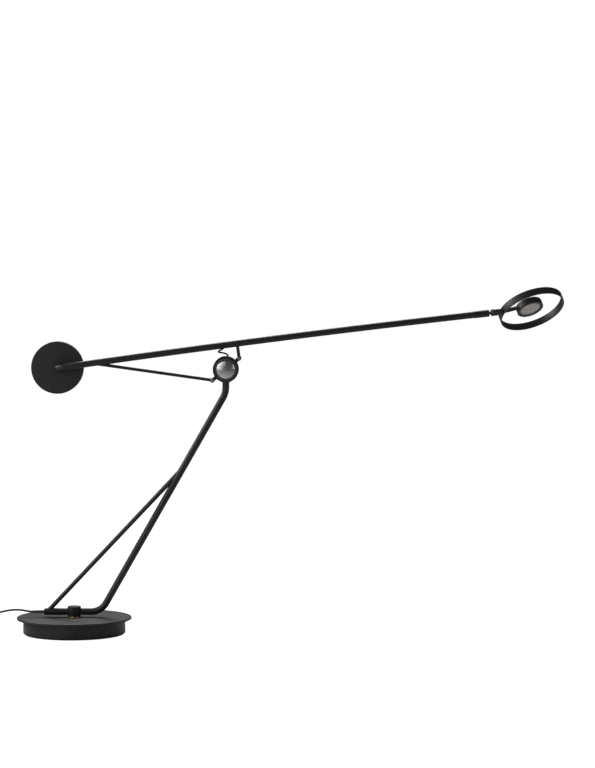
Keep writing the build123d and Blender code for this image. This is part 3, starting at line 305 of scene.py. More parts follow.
@dataclass(frozen=True)
class TurnedMetal:
    """Bare metal faced on a lathe: fine rings about an axis."""

    name: str
    centre: tuple[float, float, float]
    basis: tuple[tuple[float, float, float], tuple[float, float, float]]
    colour: Colour = (0.56, 0.56, 0.57)
    roughness: float = 0.20
    pitch: float = 0.00032
    depth: float = 0.000036

    def material(self) -> bpy.types.Material:
        """Rings as sine of the radius, broken up by noise that only varies with the radius."""
        metal = Shader(self.name, self.colour, self.roughness, metallic=1.0)
        x, y = metal.axes(self.centre, self.basis)
        radius = (x * x + y * y).root()
        ring = metal.node("ShaderNodeCombineXYZ", None, {0: radius})
        cuts = metal.noise(1 / self.pitch * 0.6, 4.0, 0.7, ring)
        wave = (radius * (2 * math.pi / self.pitch)).sine()
        metal.bump(wave * 0.35 + cuts * 0.4, self.depth)
        haze = metal.noise(160.0, 2.0)
        dark = tuple(c * 0.82 for c in self.colour)
        metal.set("Base Color", metal.mix(cuts * 0.5 + haze * 0.5, dark, self.colour))
        metal.set("Roughness", self.roughness - 0.04 + haze * 0.08 + cuts * 0.06)
        return metal.material


@dataclass(frozen=True)
class BareMetal:
    """Plated, brushed or cast metal with fine scratches."""

    name: str
    colour: Colour
    roughness: float
    scale: float = 900.0
    depth: float = 0.00002

    def material(self) -> bpy.types.Material:
        """Metal with scratches in the bump and stains in the gloss."""
        metal = Shader(self.name, self.colour, self.roughness, metallic=1.0)
        scratch = metal.noise(self.scale, 3.0, 0.65)
        stain = metal.noise(self.scale / 14, 2.0)
        dark = tuple(c * 0.72 for c in self.colour)
        metal.set("Base Color", metal.mix(stain.smooth(0.3, 0.75), self.colour, dark))
        metal.set("Roughness", self.roughness - 0.06 + stain * 0.12 + scratch * 0.08)
        metal.bump(scratch, self.depth)
        return metal.material


@dataclass(frozen=True)
class Moulded:
    """Moulded plastic or rubber with a fine spark texture."""

    name: str
    colour: Colour
    roughness: float
    scale: float = 1800.0
    depth: float = 0.00003
    specular: float = 0.4

    def material(self) -> bpy.types.Material:
        """Plastic with a pebbled bump and a slightly uneven gloss."""
        plastic = Shader(self.name, self.colour, self.roughness, specular=self.specular)
        pebble = plastic.noise(self.scale, 1.5)
        flow = plastic.noise(self.scale / 40, 2.0)
        light = tuple(min(c * 1.25 + 0.004, 1.0) for c in self.colour)
        plastic.set("Base Color", plastic.mix(flow, self.colour, light))
        plastic.set("Roughness", self.roughness - 0.05 + flow * 0.1 + pebble * 0.05)
        plastic.bump(pebble, self.depth)
        return plastic.material


@dataclass(frozen=True)
class Frosted:
    """The opal cover of the light, switched off: milky, with a dim grid of light chips behind."""

    name: str
    centre: tuple[float, float, float]
    basis: tuple[tuple[float, float, float], tuple[float, float, float]]
    colour: Colour = (0.13, 0.122, 0.115)
    bright: Colour = (0.165, 0.154, 0.146)
    # dim is the colour of the painted shade at the rim
    dim: Colour = (0.085, 0.080, 0.077)
    rim_r: float = 0.0192

    def material(self) -> bpy.types.Material:
        """Warm grey opal, clouded by the chips behind it, with painted shade that darkens it towards the
        rim as the square of the radius.
        """
        opal = Shader(self.name, self.colour, 0.5, specular=0.3)
        x, y = opal.axes(self.centre, self.basis)
        radius = (x * x + y * y).root() / self.rim_r
        cloud = opal.noise(300.0, 2.0).smooth(0.3, 0.7)
        # painted shade: darker towards the rim as the square of the radius, mixed with the random cloud
        rim_shade = (radius * radius).smooth(0.3, 1.05) * 0.45 + cloud * 0.55
        opal.set("Base Color", opal.mix(rim_shade, self.bright, self.dim))
        grain = opal.noise(3200.0, 1.0)
        opal.set("Roughness", 0.36 + grain * 0.1)
        opal.bump(grain, 0.00002)
        return opal.material


@dataclass(frozen=True)
class CircuitBoard:
    """Lacquered board with copper tracks under the mask."""

    name: str = "circuit_board"

    def material(self) -> bpy.types.Material:
        """Green mask with tracks drawn by a brick pattern."""
        board = Shader(self.name, (0.02, 0.10, 0.045), 0.35)
        greys = {"Color1": (0, 0, 0, 1), "Color2": (0.4, 0.4, 0.4, 1), "Mortar": (1, 1, 1, 1)}
        links = {"Vector": board.place, "Scale": 260.0, "Mortar Size": 0.03, **greys}
        tracks = board.node("ShaderNodeTexBrick", None, links, "Fac")
        board.set("Base Color", board.mix(tracks, (0.015, 0.085, 0.035), (0.05, 0.20, 0.09)))
        board.set("Roughness", 0.32 + tracks * 0.12)
        board.bump(tracks, 0.00004)
        return board.material


@dataclass(frozen=True)
class Sheath:
    """The smooth jacket of a round mains cord."""

    name: str = "cord_sheath"
    colour: Colour = (0.006, 0.006, 0.0065)

    def material(self) -> bpy.types.Material:
        """Matt jacket with faint drawing lines and dust."""
        jacket = Shader(self.name, self.colour, 0.5, specular=0.22)
        dust = jacket.noise(700.0, 2.0).smooth(0.55, 0.8)
        wave = jacket.noise(90.0, 2.0)
        jacket.set("Base Color", jacket.mix(dust, self.colour, (0.018, 0.018, 0.019)))
        jacket.set("Roughness", 0.42 + wave * 0.16)
        jacket.bump(wave + dust * 0.3, 0.00003)
        return jacket.material


@dataclass(frozen=True)
class HookStrap:
    """Woven hook-and-loop strap."""

    name: str = "hook_strap"

    def material(self) -> bpy.types.Material:
        """A weave from two crossed waves on object coordinates, with fuzz."""
        strap = Shader(self.name, (0.014, 0.014, 0.015), 0.85, specular=0.2)
        x, y, z = strap.axes((0, 0, 0), ((1, 0, 0), (0, 1, 0), (0, 0, 1)))
        weave = ((x + z) * 5200.0).sine() * (y * 5200.0).sine()
        fuzz = strap.noise(3000.0, 3.0, 0.7)
        strap.set("Base Color", strap.mix(weave * 0.3 + fuzz, (0.008, 0.008, 0.009), (0.035, 0.035, 0.037)))
        strap.set("Roughness", 0.78 + fuzz * 0.15)
        strap.bump(weave + fuzz, 0.00012)
        return strap.material


# ------------------------------------------------------------------ surfaces


def unit(vector: Sequence[float]) -> np.ndarray:
    """The vector scaled to length 1."""
    v = np.asarray(vector, dtype=float)
    return v / np.linalg.norm(v)


def rounded(corners: Sequence[Sequence[float]], radii: Sequence[float], steps: int = 6) -> np.ndarray:
    """A polyline with each inner corner turned into an arc.

    The arc is the rational quadratic curve of its two tangent points and the corner, with the cosine
    of half the turn as the corner's weight, which is an exact circle.

    Args:
        corners: points of any dimension.
        radii: one radius for each inner corner; 0 keeps it sharp.
        steps: spans in each arc.

    Returns:
        The points of the rounded line.
    """
    points = np.asarray(corners, dtype=float)
    pieces = [points[:1]]
    s = np.linspace(0, 1, steps + 1)[:, None]
    for before, corner, after, radius in zip(points, points[1:], points[2:], radii):
        way_in, way_out = unit(corner - before), unit(after - corner)
        half = math.acos(float(np.clip(way_in @ way_out, -1, 1))) / 2
        if radius <= 0 or half < 1e-6:
            pieces.append(corner[None])
            continue
        reach = radius * math.tan(half)
        first, last, weight = corner - way_in * reach, corner + way_out * reach, math.cos(half)
        share = (1 - s) ** 2, 2 * s * (1 - s) * weight, s**2
        arc = share[0] * first + share[1] * corner + share[2] * last
        pieces.append(arc / (share[0] + share[1] + share[2]))
    pieces.append(points[-1:])
    return np.vstack(pieces)


def lathe(
    profile: np.ndarray, origin: Sequence[float], axis: Sequence[float], around: int = 96
) -> np.ndarray:
    """A profile turned about an axis.

    Formula: origin + h * axis + r * (cos t * side + sin t * up), with (r, h) from the profile.

    Args:
        profile: rows of (radius, height).
        origin: a point on the axis.
        axis: the axis's direction.
        around: points round the axis.

    Returns:
        A grid of points, rows along the profile and columns round the axis.
    """
    z = unit(axis)
    side = unit(np.cross(z, (0.0, 1.0, 0.0) if abs(z[1]) < 0.9 else (1.0, 0.0, 0.0)))
    up = np.cross(z, side)
    t = np.linspace(0, 2 * math.pi, around, endpoint=False)
    ring = np.cos(t)[:, None] * side + np.sin(t)[:, None] * up
    return np.asarray(origin) + profile[:, 1, None, None] * z + profile[:, 0, None, None] * ring


def sweep(path: np.ndarray, radius: float, across: Sequence[float], around: int) -> np.ndarray:
    """A circle carried along a path that stays near one plane.

    Formula: path(s) + r * (cos t * n(s) + sin t * b(s)), with b the plane's normal made square to
    the path and n = b x tangent. Both ends close in a point.

    Args:
        path: points in order.
        radius: the circle's radius.
        across: the plane's normal.
        around: points round the path.

    Returns:
        A grid of points, rows along the path and columns round it.
    """
    tangent = np.gradient(path, axis=0)
    tangent /= np.linalg.norm(tangent, axis=1, keepdims=True)
    b = unit(across) - tangent * (tangent @ unit(across))[:, None]
    b /= np.linalg.norm(b, axis=1, keepdims=True)
    n = np.cross(b, tangent)
    t = np.linspace(0, 2 * math.pi, around, endpoint=False)
    ring = np.cos(t)[:, None] * n[:, None] + np.sin(t)[:, None] * b[:, None]
    body = path[:, None] + radius * ring
    first = np.repeat(path[:1, None], around, axis=1)
    last = np.repeat(path[-1:, None], around, axis=1)
    return np.concatenate([first, body, last])


def put(name: str, data: bpy.types.ID) -> bpy.types.Object:
    """A new object at the origin, linked to the scene."""
    made = bpy.data.objects.new(name, data)
    bpy.context.scene.collection.objects.link(made)
    return made


def solid(
    name: str,
    grid: np.ndarray,
    body: Body | None,
    material: bpy.types.Material,
    closed: bool = False,
) -> bpy.types.Object:
    """Makes a closed mesh object from a grid whose columns go all the way round.

    Args:
        name: the piece's name.
        grid: rows by columns of points.
        body: the body that it rides on, or None to leave it on no body.
        material: its finish.
        closed: whether the last row joins the first.

    Returns:
        The object, at the origin.
    """
    rows, columns = grid.shape[:2]
    spans = rows if closed else rows - 1
    i, j = np.meshgrid(np.arange(spans), np.arange(columns), indexing="ij")
    k, m = (i + 1) % rows, (j + 1) % columns
    corners = [i * columns + j, i * columns + m, k * columns + m, k * columns + j]
    mesh = bpy.data.meshes.new(name)
    mesh.from_pydata(grid.reshape(-1, 3), [], np.stack(corners, axis=-1).reshape(-1, 4))
    work = bmesh.new()
    work.from_mesh(mesh)
    bmesh.ops.remove_doubles(work, verts=work.verts, dist=1e-6)
    bmesh.ops.dissolve_degenerate(work, edges=work.edges, dist=1e-7)
    bmesh.ops.recalc_face_normals(work, faces=work.faces)
    work.to_mesh(mesh)
    work.free()
    mesh.shade_smooth()
    mesh.set_sharp_from_angle(angle=math.radians(32))
    piece = put(name, mesh)
    mesh.materials.append(material)
    if body is not None:
        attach(piece, body.value)
    return piece


def dress(frame: dict, names: Sequence[str], material: bpy.types.Material) -> None:
    """Gives CAD nodes a material in all their slots."""
    for name in names:
        node = frame["nodes"][name]
        if not node.material_slots:
            node.data.materials.append(material)
        for slot in node.material_slots:
            slot.material = material


# ------------------------------------------------------------------ places shared by the sub-assemblies


@dataclass(frozen=True)
class LampFrame:
    """The lamp's own directions and points, as in the CAD source."""

    pivot: tuple[float, float, float] = (0.265, 0.0, 0.462)
    arm_angle: float = 7.3
    arm_height: float = 0.042
    arm_bow: float = 0.0029
    tip_u: float = 0.439
    elbow_u: float = -0.2915
    elbow_r: float = 0.013
    ball_reach: float = 0.0343
    neck_turn: float = 23.4
    neck_rise: float = 4.3
    head_roll: float = 35.6
    ball_to_ring: float = 0.0742
    puck_front: float = 0.0012
    puck_offset: float = 0.0023

    @property
    def along(self) -> np.ndarray:
        """The arm's direction towards the head."""
        angle = math.radians(self.arm_angle)
        return np.array([math.cos(angle), 0.0, math.sin(angle)])

    @property
    def above(self) -> np.ndarray:
        """Square to the arm, upwards."""
        angle = math.radians(self.arm_angle)
        return np.array([-math.sin(angle), 0.0, math.cos(angle)])

    def arm(self, u: float, v: float) -> np.ndarray:
        """A point from its place along the arm and above the pivot."""
        return np.array(self.pivot) + self.along * u + self.above * v

    @property
    def bow_r(self) -> float:
        """The radius of the arm's slight bow."""
        return (self.tip_u - self.elbow_u) ** 2 / (8 * self.arm_bow) + self.arm_bow / 2

    def axis(self, u: float) -> np.ndarray:
        """The point of the bowed arm's axis at u."""
        off = u - (self.tip_u + self.elbow_u) / 2
        return self.arm(u, self.arm_height - self.bow_r + math.sqrt(self.bow_r**2 - off**2))

    def way(self, u: float) -> np.ndarray:
        """The direction of the bowed arm at u, towards the head."""
        sine = (u - (self.tip_u + self.elbow_u) / 2) / self.bow_r
        return self.along * math.sqrt(1 - sine**2) - self.above * sine

    @property
    def elbow(self) -> np.ndarray:
        """The corner of the elbow, which is the counterweight's axis."""
        start = self.elbow_u + self.elbow_r
        return self.axis(start) - self.way(start) * self.elbow_r

    @property
    def ball(self) -> np.ndarray:
        """The centre of the ball joint."""
        return self.axis(self.tip_u) + self.way(self.tip_u) * self.ball_reach

    @property
    def neck(self) -> np.ndarray:
        """The neck's direction from the ball to the ring."""
        turn, rise = math.radians(self.neck_turn), math.radians(self.neck_rise)
        return np.array([math.cos(rise) * math.cos(turn), math.cos(rise) * math.sin(turn), math.sin(rise)])

    @property
    def light(self) -> np.ndarray:
        """The way the light shines."""
        turn, roll = math.radians(self.neck_turn), math.radians(self.head_roll)
        side = np.array([-math.sin(turn), math.cos(turn), 0.0])
        return -math.cos(roll) * np.cross(self.neck, side) - math.sin(roll) * side

    @property
    def near(self) -> np.ndarray:
        """In the ring's plane, square to the neck, towards the front."""
        return np.cross(self.light, self.neck)

    @property
    def ring(self) -> np.ndarray:
        """The ring's centre."""
        return self.ball + self.neck * self.ball_to_ring

    @property
    def puck(self) -> np.ndarray:
        """The middle of the light's front rim."""
        return self.ring - self.neck * self.puck_offset + self.light * self.puck_front


FRONT = np.array([0.0, -1.0, 0.0])
UP = np.array([0.0, 0.0, 1.0])
RIGHT = np.array([1.0, 0.0, 0.0])


def vec(point: np.ndarray) -> tuple[float, float, float]:
    """A numpy point as a plain tuple."""
    return tuple(float(c) for c in point)


class Finishes:
    """All the lamp's materials, made once."""

    def __init__(self, lamp: LampFrame) -> None:
        """Makes each material."""
        seam_side = unit(-0.55 * lamp.neck + 0.83 * lamp.near)
        self.paint = PowderCoat().material()
        self.band = SeamedCoat(
            centre=vec(lamp.ring), across=vec(np.cross(lamp.light, seam_side)), outward=vec(seam_side)
        ).material()
        self.weight = PowderCoat("anodised_weight", tone=0.0075, roughness=0.46, grain=1500.0).material()
        self.cap = TurnedMetal("turned_cap", lamp.pivot, (vec(RIGHT), vec(UP)), (0.5, 0.5, 0.5)).material()
        self.steel = BareMetal("zinc_steel", (0.50, 0.51, 0.52), 0.36).material()
        self.dull_steel = BareMetal("dull_steel", (0.22, 0.22, 0.225), 0.45).material()
        self.dark_steel = BareMetal("black_oxide_steel", (0.10, 0.10, 0.105), 0.42).material()
        self.iron = BareMetal("cast_iron", (0.09, 0.09, 0.09), 0.7, 400.0, 0.0002).material()
        self.brass = BareMetal("brass", (0.72, 0.52, 0.22), 0.3).material()
        self.rubber = Moulded("foot_rubber", (0.012, 0.012, 0.012), 0.8, 1200.0, 0.00006, 0.3).material()
        self.nylon = Moulded("nylon", (0.55, 0.54, 0.50), 0.5).material()
        self.black_plastic = Moulded("black_plastic", (0.012, 0.012, 0.013), 0.48).material()
        self.sheath = Sheath().material()
        self.strap = HookStrap().material()
        self.board = CircuitBoard().material()
        face = vec(lamp.puck), (vec(lamp.neck), vec(lamp.near))
        self.opal = Frosted("opal_cover", *face).material()
        self.chip = Moulded("light_chip", (0.75, 0.62, 0.15), 0.3).material()
        self.heat = TurnedMetal("heat_plate", *face, pitch=0.0006).material()


# ------------------------------------------------------------------ sub-assemblies


@dataclass
class Base:
    """The round foot: a wide thin plate on a narrower drum."""

    finishes: Finishes
    plate_r: float = 0.100
    plate_low: float = 0.0256
    plate_high: float = 0.0296
    plate_edge: float = 0.0014
    drum_r: float = 0.089
    drum_wall: float = 0.004
    drum_low: float = 0.0015
    drum_edge: float = 0.0016
    bore: float = 0.01003
    lip: tuple[float, float] = (0.0035, 0.0055)
    lip_reach: float = 0.003
    pad_r: float = 0.0865
    pad_edge: float = 0.0004

    def build(self, frame: dict) -> list[bpy.types.Object]:
        """Turns the plate, the drum and the pad, and dresses what stays hidden under them."""
        f, axis = self.finishes, ((0, 0, 0), UP)
        bore, r, low, high = self.bore, self.plate_r, self.plate_low, self.plate_high
        plate = rounded(
            [(bore, low), (r, low), (r, high), (bore, high), (bore, low)], [self.plate_edge] * 2 + [0.0], 8
        )
        r, foot = self.drum_r, self.drum_low
        wall = r - self.drum_wall
        inner = wall - self.lip_reach
        drum = rounded(
            [
                (wall, foot), (r, foot), (r, low), (wall, low), (wall, self.lip[1]),
                (inner, self.lip[1]), (inner, self.lip[0]), (wall, self.lip[0]), (wall, foot),
            ],
            [self.drum_edge] + [0.0] * 6,
            8,
        )
        r = self.pad_r
        pad = rounded([(0.0, 0.0), (r, 0.0), (r, foot), (0.0, foot)], [self.pad_edge, 0.0])
        made = [
            solid("plate_disc", lathe(plate[:-1], *axis, 192), Body.BASE, f.paint, True),
            solid("drum_wall", lathe(drum[:-1], *axis, 192), Body.BASE, f.paint, True),
            solid("rubber_pad", lathe(pad, *axis, 160), Body.BASE, f.rubber),
        ]
        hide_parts("base_top_plate")
        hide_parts("base_drum")
        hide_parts("foot_pad")
        dress(frame, ["bottom_cover", "cover_screws", "ballast_screws", "thrust_washer"], f.steel)
        dress(frame, ["ballast"], f.iron)
        dress(frame, ["swivel_bush"], f.brass)
        return made


@dataclass
class Stem:
    """The swivel collar, the bent stem tube and the strut that braces it."""

    finishes: Finishes
    lamp: LampFrame
    foot_z: float = 0.0387
    foot_end_x: float = -0.0512
    corner_x: float = 0.047
    neck_corner_z: float = 0.421
    tube_r: float = 0.006
    tube_top_z: float = 0.4483
    foot_bend: float = 0.030
    neck_bend: float = 0.040
    strut_r: float = 0.004
    strut_foot_x: float = -0.0468
    strut_head_z: float = 0.2896
    collar_low: float = 0.0304
    collar_high: float = 0.0484
    collar_r: float = 0.0118
    collar_foot_r: float = 0.0111
    spigot_low: float = 0.0096
    spigot_r: float = 0.006
    journal_low: float = 0.019
    journal_r: float = 0.008

    def collar(self) -> bpy.types.Object:
        """The turned collar with its spigot below."""
        middle = (self.collar_low + self.collar_high) / 2
        profile = rounded(
            [
                (0.0, self.spigot_low), (self.spigot_r, self.spigot_low), (self.spigot_r, self.journal_low),
                (self.journal_r, self.journal_low), (self.journal_r, self.collar_low),
                (self.collar_foot_r, self.collar_low), (self.collar_r, middle),
                (self.collar_r, self.collar_high), (0.0, self.collar_high),
            ],
            [0.0, 0.0, 0.0, 0.0, 0.0004, 0.006, 0.0022],
            8,
        )
        grid = lathe(profile, (0, 0, 0), UP)
        piece = solid("collar_turned", grid, Body.STEM, self.finishes.paint)
        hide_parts("swivel_collar")
        return piece

    def tube(self) -> bpy.types.Object:
        """The stem tube: a circle carried along straight runs and two arcs."""
        x, z = self.lamp.pivot[0], self.foot_z
        path = rounded(
            [
                (self.foot_end_x, 0, z), (self.corner_x, 0, z),
                (x, 0, self.neck_corner_z), (x, 0, self.tube_top_z),
            ],
            [self.foot_bend, self.neck_bend],
            24,
        )
        grid = sweep(path, self.tube_r, FRONT, 48)
        piece = solid("stem_pipe", grid, Body.STEM, self.finishes.paint)
        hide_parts("stem_tube")
        return piece

    def strut(self) -> bpy.types.Object:
        """The strut from the foot of the tube up to the stem."""
        corner = np.array([self.corner_x, 0, self.foot_z])
        top = np.array([self.lamp.pivot[0], 0, self.neck_corner_z])
        share = (self.strut_head_z - self.foot_z) / (self.neck_corner_z - self.foot_z)
        head = corner + (top - corner) * share
        foot = np.array([self.strut_foot_x, 0, self.foot_z])
        grid = sweep(np.linspace(foot, head, 24), self.strut_r, FRONT, 36)
        piece = solid("strut_bar", grid, Body.STEM, self.finishes.paint)
        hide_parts("strut_rod")
        return piece

    def build(self, frame: dict) -> list[bpy.types.Object]:
        """Makes the pieces and dresses the small hardware."""
        f = self.finishes
        made = [self.collar(), self.tube(), self.strut()]
        dress(frame, ["spring_washer", "swivel_nut"], f.steel)
        dress(frame, ["collar_set_screw"], f.dark_steel)
        dress(frame, ["stem_lead"], f.sheath)
        return made


@dataclass
class Pivot:
    """The hub on the stem, its friction rings and the silver cap that presses in as the switch."""

    finishes: Finishes
    lamp: LampFrame
    cap_r: float = 0.0155
    rim: float = 0.015
    dome: float = 0.002
    wall: float = 0.002
    skirt: float = 0.0108
    eased: float = 0.0003
    crown_inset: float = 0.0004
    plunger: float = 0.00995
    plunger_r: float = 0.002
    cap_travel: float = 0.001
    spring_r: float = 0.0052
    spring_wire: float = 0.0004
    spring_turns: int = 3
    spring_seat: float = 0.0077
    spring_top: float = 0.0126

    def cap(self) -> bpy.types.Object:
        """The domed cap: a shallow crown with a small chamfer, and a skirt and plunger behind."""
        r, rim, eased = self.cap_r, self.rim, self.eased
        hollow_r, roof, pin_r = r - self.wall, rim - self.wall, self.plunger_r
        t = np.linspace(0, 1, 28)
        crown = np.stack([t * (r - self.crown_inset), rim + self.dome * (1 - t**2)], axis=1)
        rest = rounded(
            [
                (r, rim - eased), (r, self.skirt), (hollow_r, self.skirt), (hollow_r, roof),
                (pin_r, roof), (pin_r, self.plunger), (0.0, self.plunger),
            ],
            [eased, eased, 0.0, 0.0, 0.0],
            4,
        )
        grid = lathe(np.vstack([crown, rest]), self.lamp.pivot, FRONT, 128)
        piece = solid("silver_cap", grid, Body.CAP, self.finishes.cap)
        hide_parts("dimmer_cap")
        return piece

    def spring(self) -> bpy.types.Object:
        """The return spring: a helix, a circle drawn out along its axis at a steady pitch."""
        y = np.linspace(self.spring_seat, self.spring_top, 40 * self.spring_turns + 1)
        turn = (y - y[0]) / (y[-1] - y[0]) * 2 * math.pi * self.spring_turns
        helix = [self.spring_r * np.cos(turn), -y, self.spring_r * np.sin(turn)]
        grid = sweep(self.lamp.pivot + np.stack(helix, axis=1), self.spring_wire, FRONT, 12)
        piece = solid("return_spring", grid, Body.STEM, self.finishes.steel)
        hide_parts("cap_spring")
        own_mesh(piece)
        return piece

    def build(self, frame: dict) -> list[bpy.types.Object]:
        """Makes the cap and its spring, and dresses the hub, its rings and its board."""
        f = self.finishes
        dress(frame, ["pivot_housing"], f.paint)
        dress(frame, ["friction_washers"], f.nylon)
        dress(frame, ["retaining_rings"], f.dark_steel)
        dress(frame, ["rear_cover"], f.black_plastic)
        dress(frame, ["dimmer_board"], f.board)
        return [self.cap(), self.spring()]


@dataclass
class Arm:
    """The long arm with its yokes and rods, the counterweight at one end and the sleeve at the other."""

    finishes: Finishes
    lamp: LampFrame
    tube_r: float = 0.0058
    leg: float = 0.024
    wire_r: float = 0.0015
    wire_points: tuple[tuple[float, float], ...] = (
        (0.0054, 0.0185), (0.0066, 0.0222), (0.0060, 0.0258), (-0.0015, 0.0292),
        (-0.0094, 0.0308), (-0.0078, 0.0334), (-0.0020, 0.0350), (0.0004, 0.0367),
    )
    disc_r: float = 0.0456
    disc_front: float = 0.015
    disc_back: float = 0.032
    disc_edge: float = 0.0009
    bore: float = 0.00583
    pocket_r: float = 0.0093
    pocket_depth: float = 0.0053
    pocket_edge: float = 0.0003
    screw_r: float = 0.0033

    def tube(self) -> bpy.types.Object:
        """The arm tube: one long bowed run and the elbow that turns back into the disc."""
        lamp = self.lamp
        bend = lamp.elbow_u + lamp.elbow_r
        run = np.array([lamp.axis(u) for u in np.linspace(lamp.tip_u, bend, 48)])
        elbow = rounded([run[-1], lamp.elbow, lamp.elbow - FRONT * self.leg], [lamp.elbow_r], 20)
        path = np.vstack([run[:-1], elbow[1:]])
        grid = sweep(path, self.tube_r, lamp.above, 48)
        piece = solid("arm_pipe", grid, Body.ARM, self.finishes.paint)
        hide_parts("arm_tube")
        return piece

    def disc(self) -> bpy.types.Object:
        """The counterweight: a thick disc with eased rims and a screw pocket in its back."""
        front, back, r, leg = self.disc_front, self.disc_back, self.disc_r, self.leg
        bore, pocket_r, screw_r = self.bore, self.pocket_r, self.screw_r
        floor = back - self.pocket_depth
        profile = rounded(
            [
                (bore, front), (r, front), (r, back), (pocket_r, back), (pocket_r, floor),
                (screw_r, floor), (screw_r, leg), (bore, leg), (bore, front),
            ],
            [self.disc_edge] * 2 + [self.pocket_edge] + [0.0] * 4,
            6,
        )
        grid = lathe(profile[:-1], self.lamp.elbow, -FRONT, 160)
        piece = solid("weight_disc", grid, Body.ARM, self.finishes.weight, True)
        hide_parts("counterweight_disc")
        return piece

    def wire(self) -> bpy.types.Object:
        """The slack wire from the hub to the arm, left on no body.

        Formula: a quadratic B-spline through the middles of the control points' spans, so each span of
        it is a * (1 - s)^2 / 2 + b * (1 + 2s - 2s^2) / 2 + c * s^2 / 2.
        """
        knots = np.array([self.lamp.arm(u, v) for u, v in self.wire_points])
        knots = np.vstack([2 * knots[0] - knots[1], knots, 2 * knots[-1] - knots[-2]])
        a, b, c = knots[:-2, None], knots[1:-1, None], knots[2:, None]
        s = np.linspace(0, 1, 10, endpoint=False)[:, None]
        path = (a * (1 - s) ** 2 + b * (1 + 2 * s - 2 * s**2) + c * s**2) / 2
        grid = sweep(path.reshape(-1, 3), self.wire_r, FRONT, 20)
        piece = solid("slack_wire", grid, None, self.finishes.sheath)
        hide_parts("wire_loop")
        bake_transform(piece)
        return piece

    def build(self, frame: dict) -> list[bpy.types.Object]:
        """Makes the arm's smooth pieces and dresses the others."""
        f = self.finishes
        made = [self.tube(), self.disc(), self.wire()]
        dress(frame, ["front_yoke", "rear_yoke", "tip_sleeve", "post_rod", "brace_rod"], f.paint)
        dress(frame, ["lug_screws"], f.dull_steel)
        dress(frame, ["counterweight_insert"], f.steel)
        dress(frame, ["counterweight_washer", "counterweight_screw"], f.dark_steel)
        dress(frame, ["arm_lead"], f.sheath)
        return made


@dataclass
class Head:
    """The ball joint, the ring band, the inner arm and the round light."""

    finishes: Finishes
    lamp: LampFrame
    ring_r: float = 0.0582
    ring_wall: float = 0.0024
    ring_height: float = 0.0128
    ring_edge: float = 0.0004
    puck_r: float = 0.0237
    puck_wall: float = 0.0014
    puck_height: float = 0.0124
    puck_edge: float = 0.0026
    puck_lip: float = 0.0003

    def band(self) -> bpy.types.Object:
        """The flat band bent into a ring."""
        out, inn, half = self.ring_r, self.ring_r - self.ring_wall, self.ring_height / 2
        profile = rounded(
            [(inn, 0), (inn, -half), (out, -half), (out, half), (inn, half), (inn, 0)],
            [self.ring_edge] * 4,
            4,
        )
        grid = lathe(profile[:-1], self.lamp.ring, self.lamp.light, 192)
        piece = solid("ring_hoop", grid, Body.HEAD, self.finishes.band, True)
        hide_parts("ring_band")
        return piece

    def puck(self) -> bpy.types.Object:
        """The light's turned cup, open to the side it shines."""
        r, wall, deep = self.puck_r, self.puck_wall, self.puck_height
        profile = rounded(
            [(0, -deep), (r, -deep), (r, 0), (r - wall, 0), (r - wall, wall - deep), (0, wall - deep)],
            [self.puck_edge] + [self.puck_lip] * 3,
            8,
        )
        grid = lathe(profile, self.lamp.puck, self.lamp.light, 128)
        piece = solid("light_cup", grid, Body.HEAD, self.finishes.paint)
        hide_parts("puck_housing")
        return piece

    def build(self, frame: dict) -> list[bpy.types.Object]:
        """Makes the band and the cup, and dresses the joint and the light's insides."""
        f = self.finishes
        dress(frame, ["socket_cap", "socket_neck", "inner_arm", "light_bezel"], f.paint)
        dress(frame, ["ball_stud", "stud_nut", "stud_washer"], f.dark_steel)
        dress(frame, ["socket_liner", "reflector"], f.nylon)
        dress(frame, ["heat_plate"], f.heat)
        dress(frame, ["led_board"], f.board)
        dress(frame, ["led_chips"], f.chip)
        dress(frame, ["diffuser"], f.opal)
        dress(frame, ["puck_screw"], f.steel)
        return [self.band(), self.puck()]


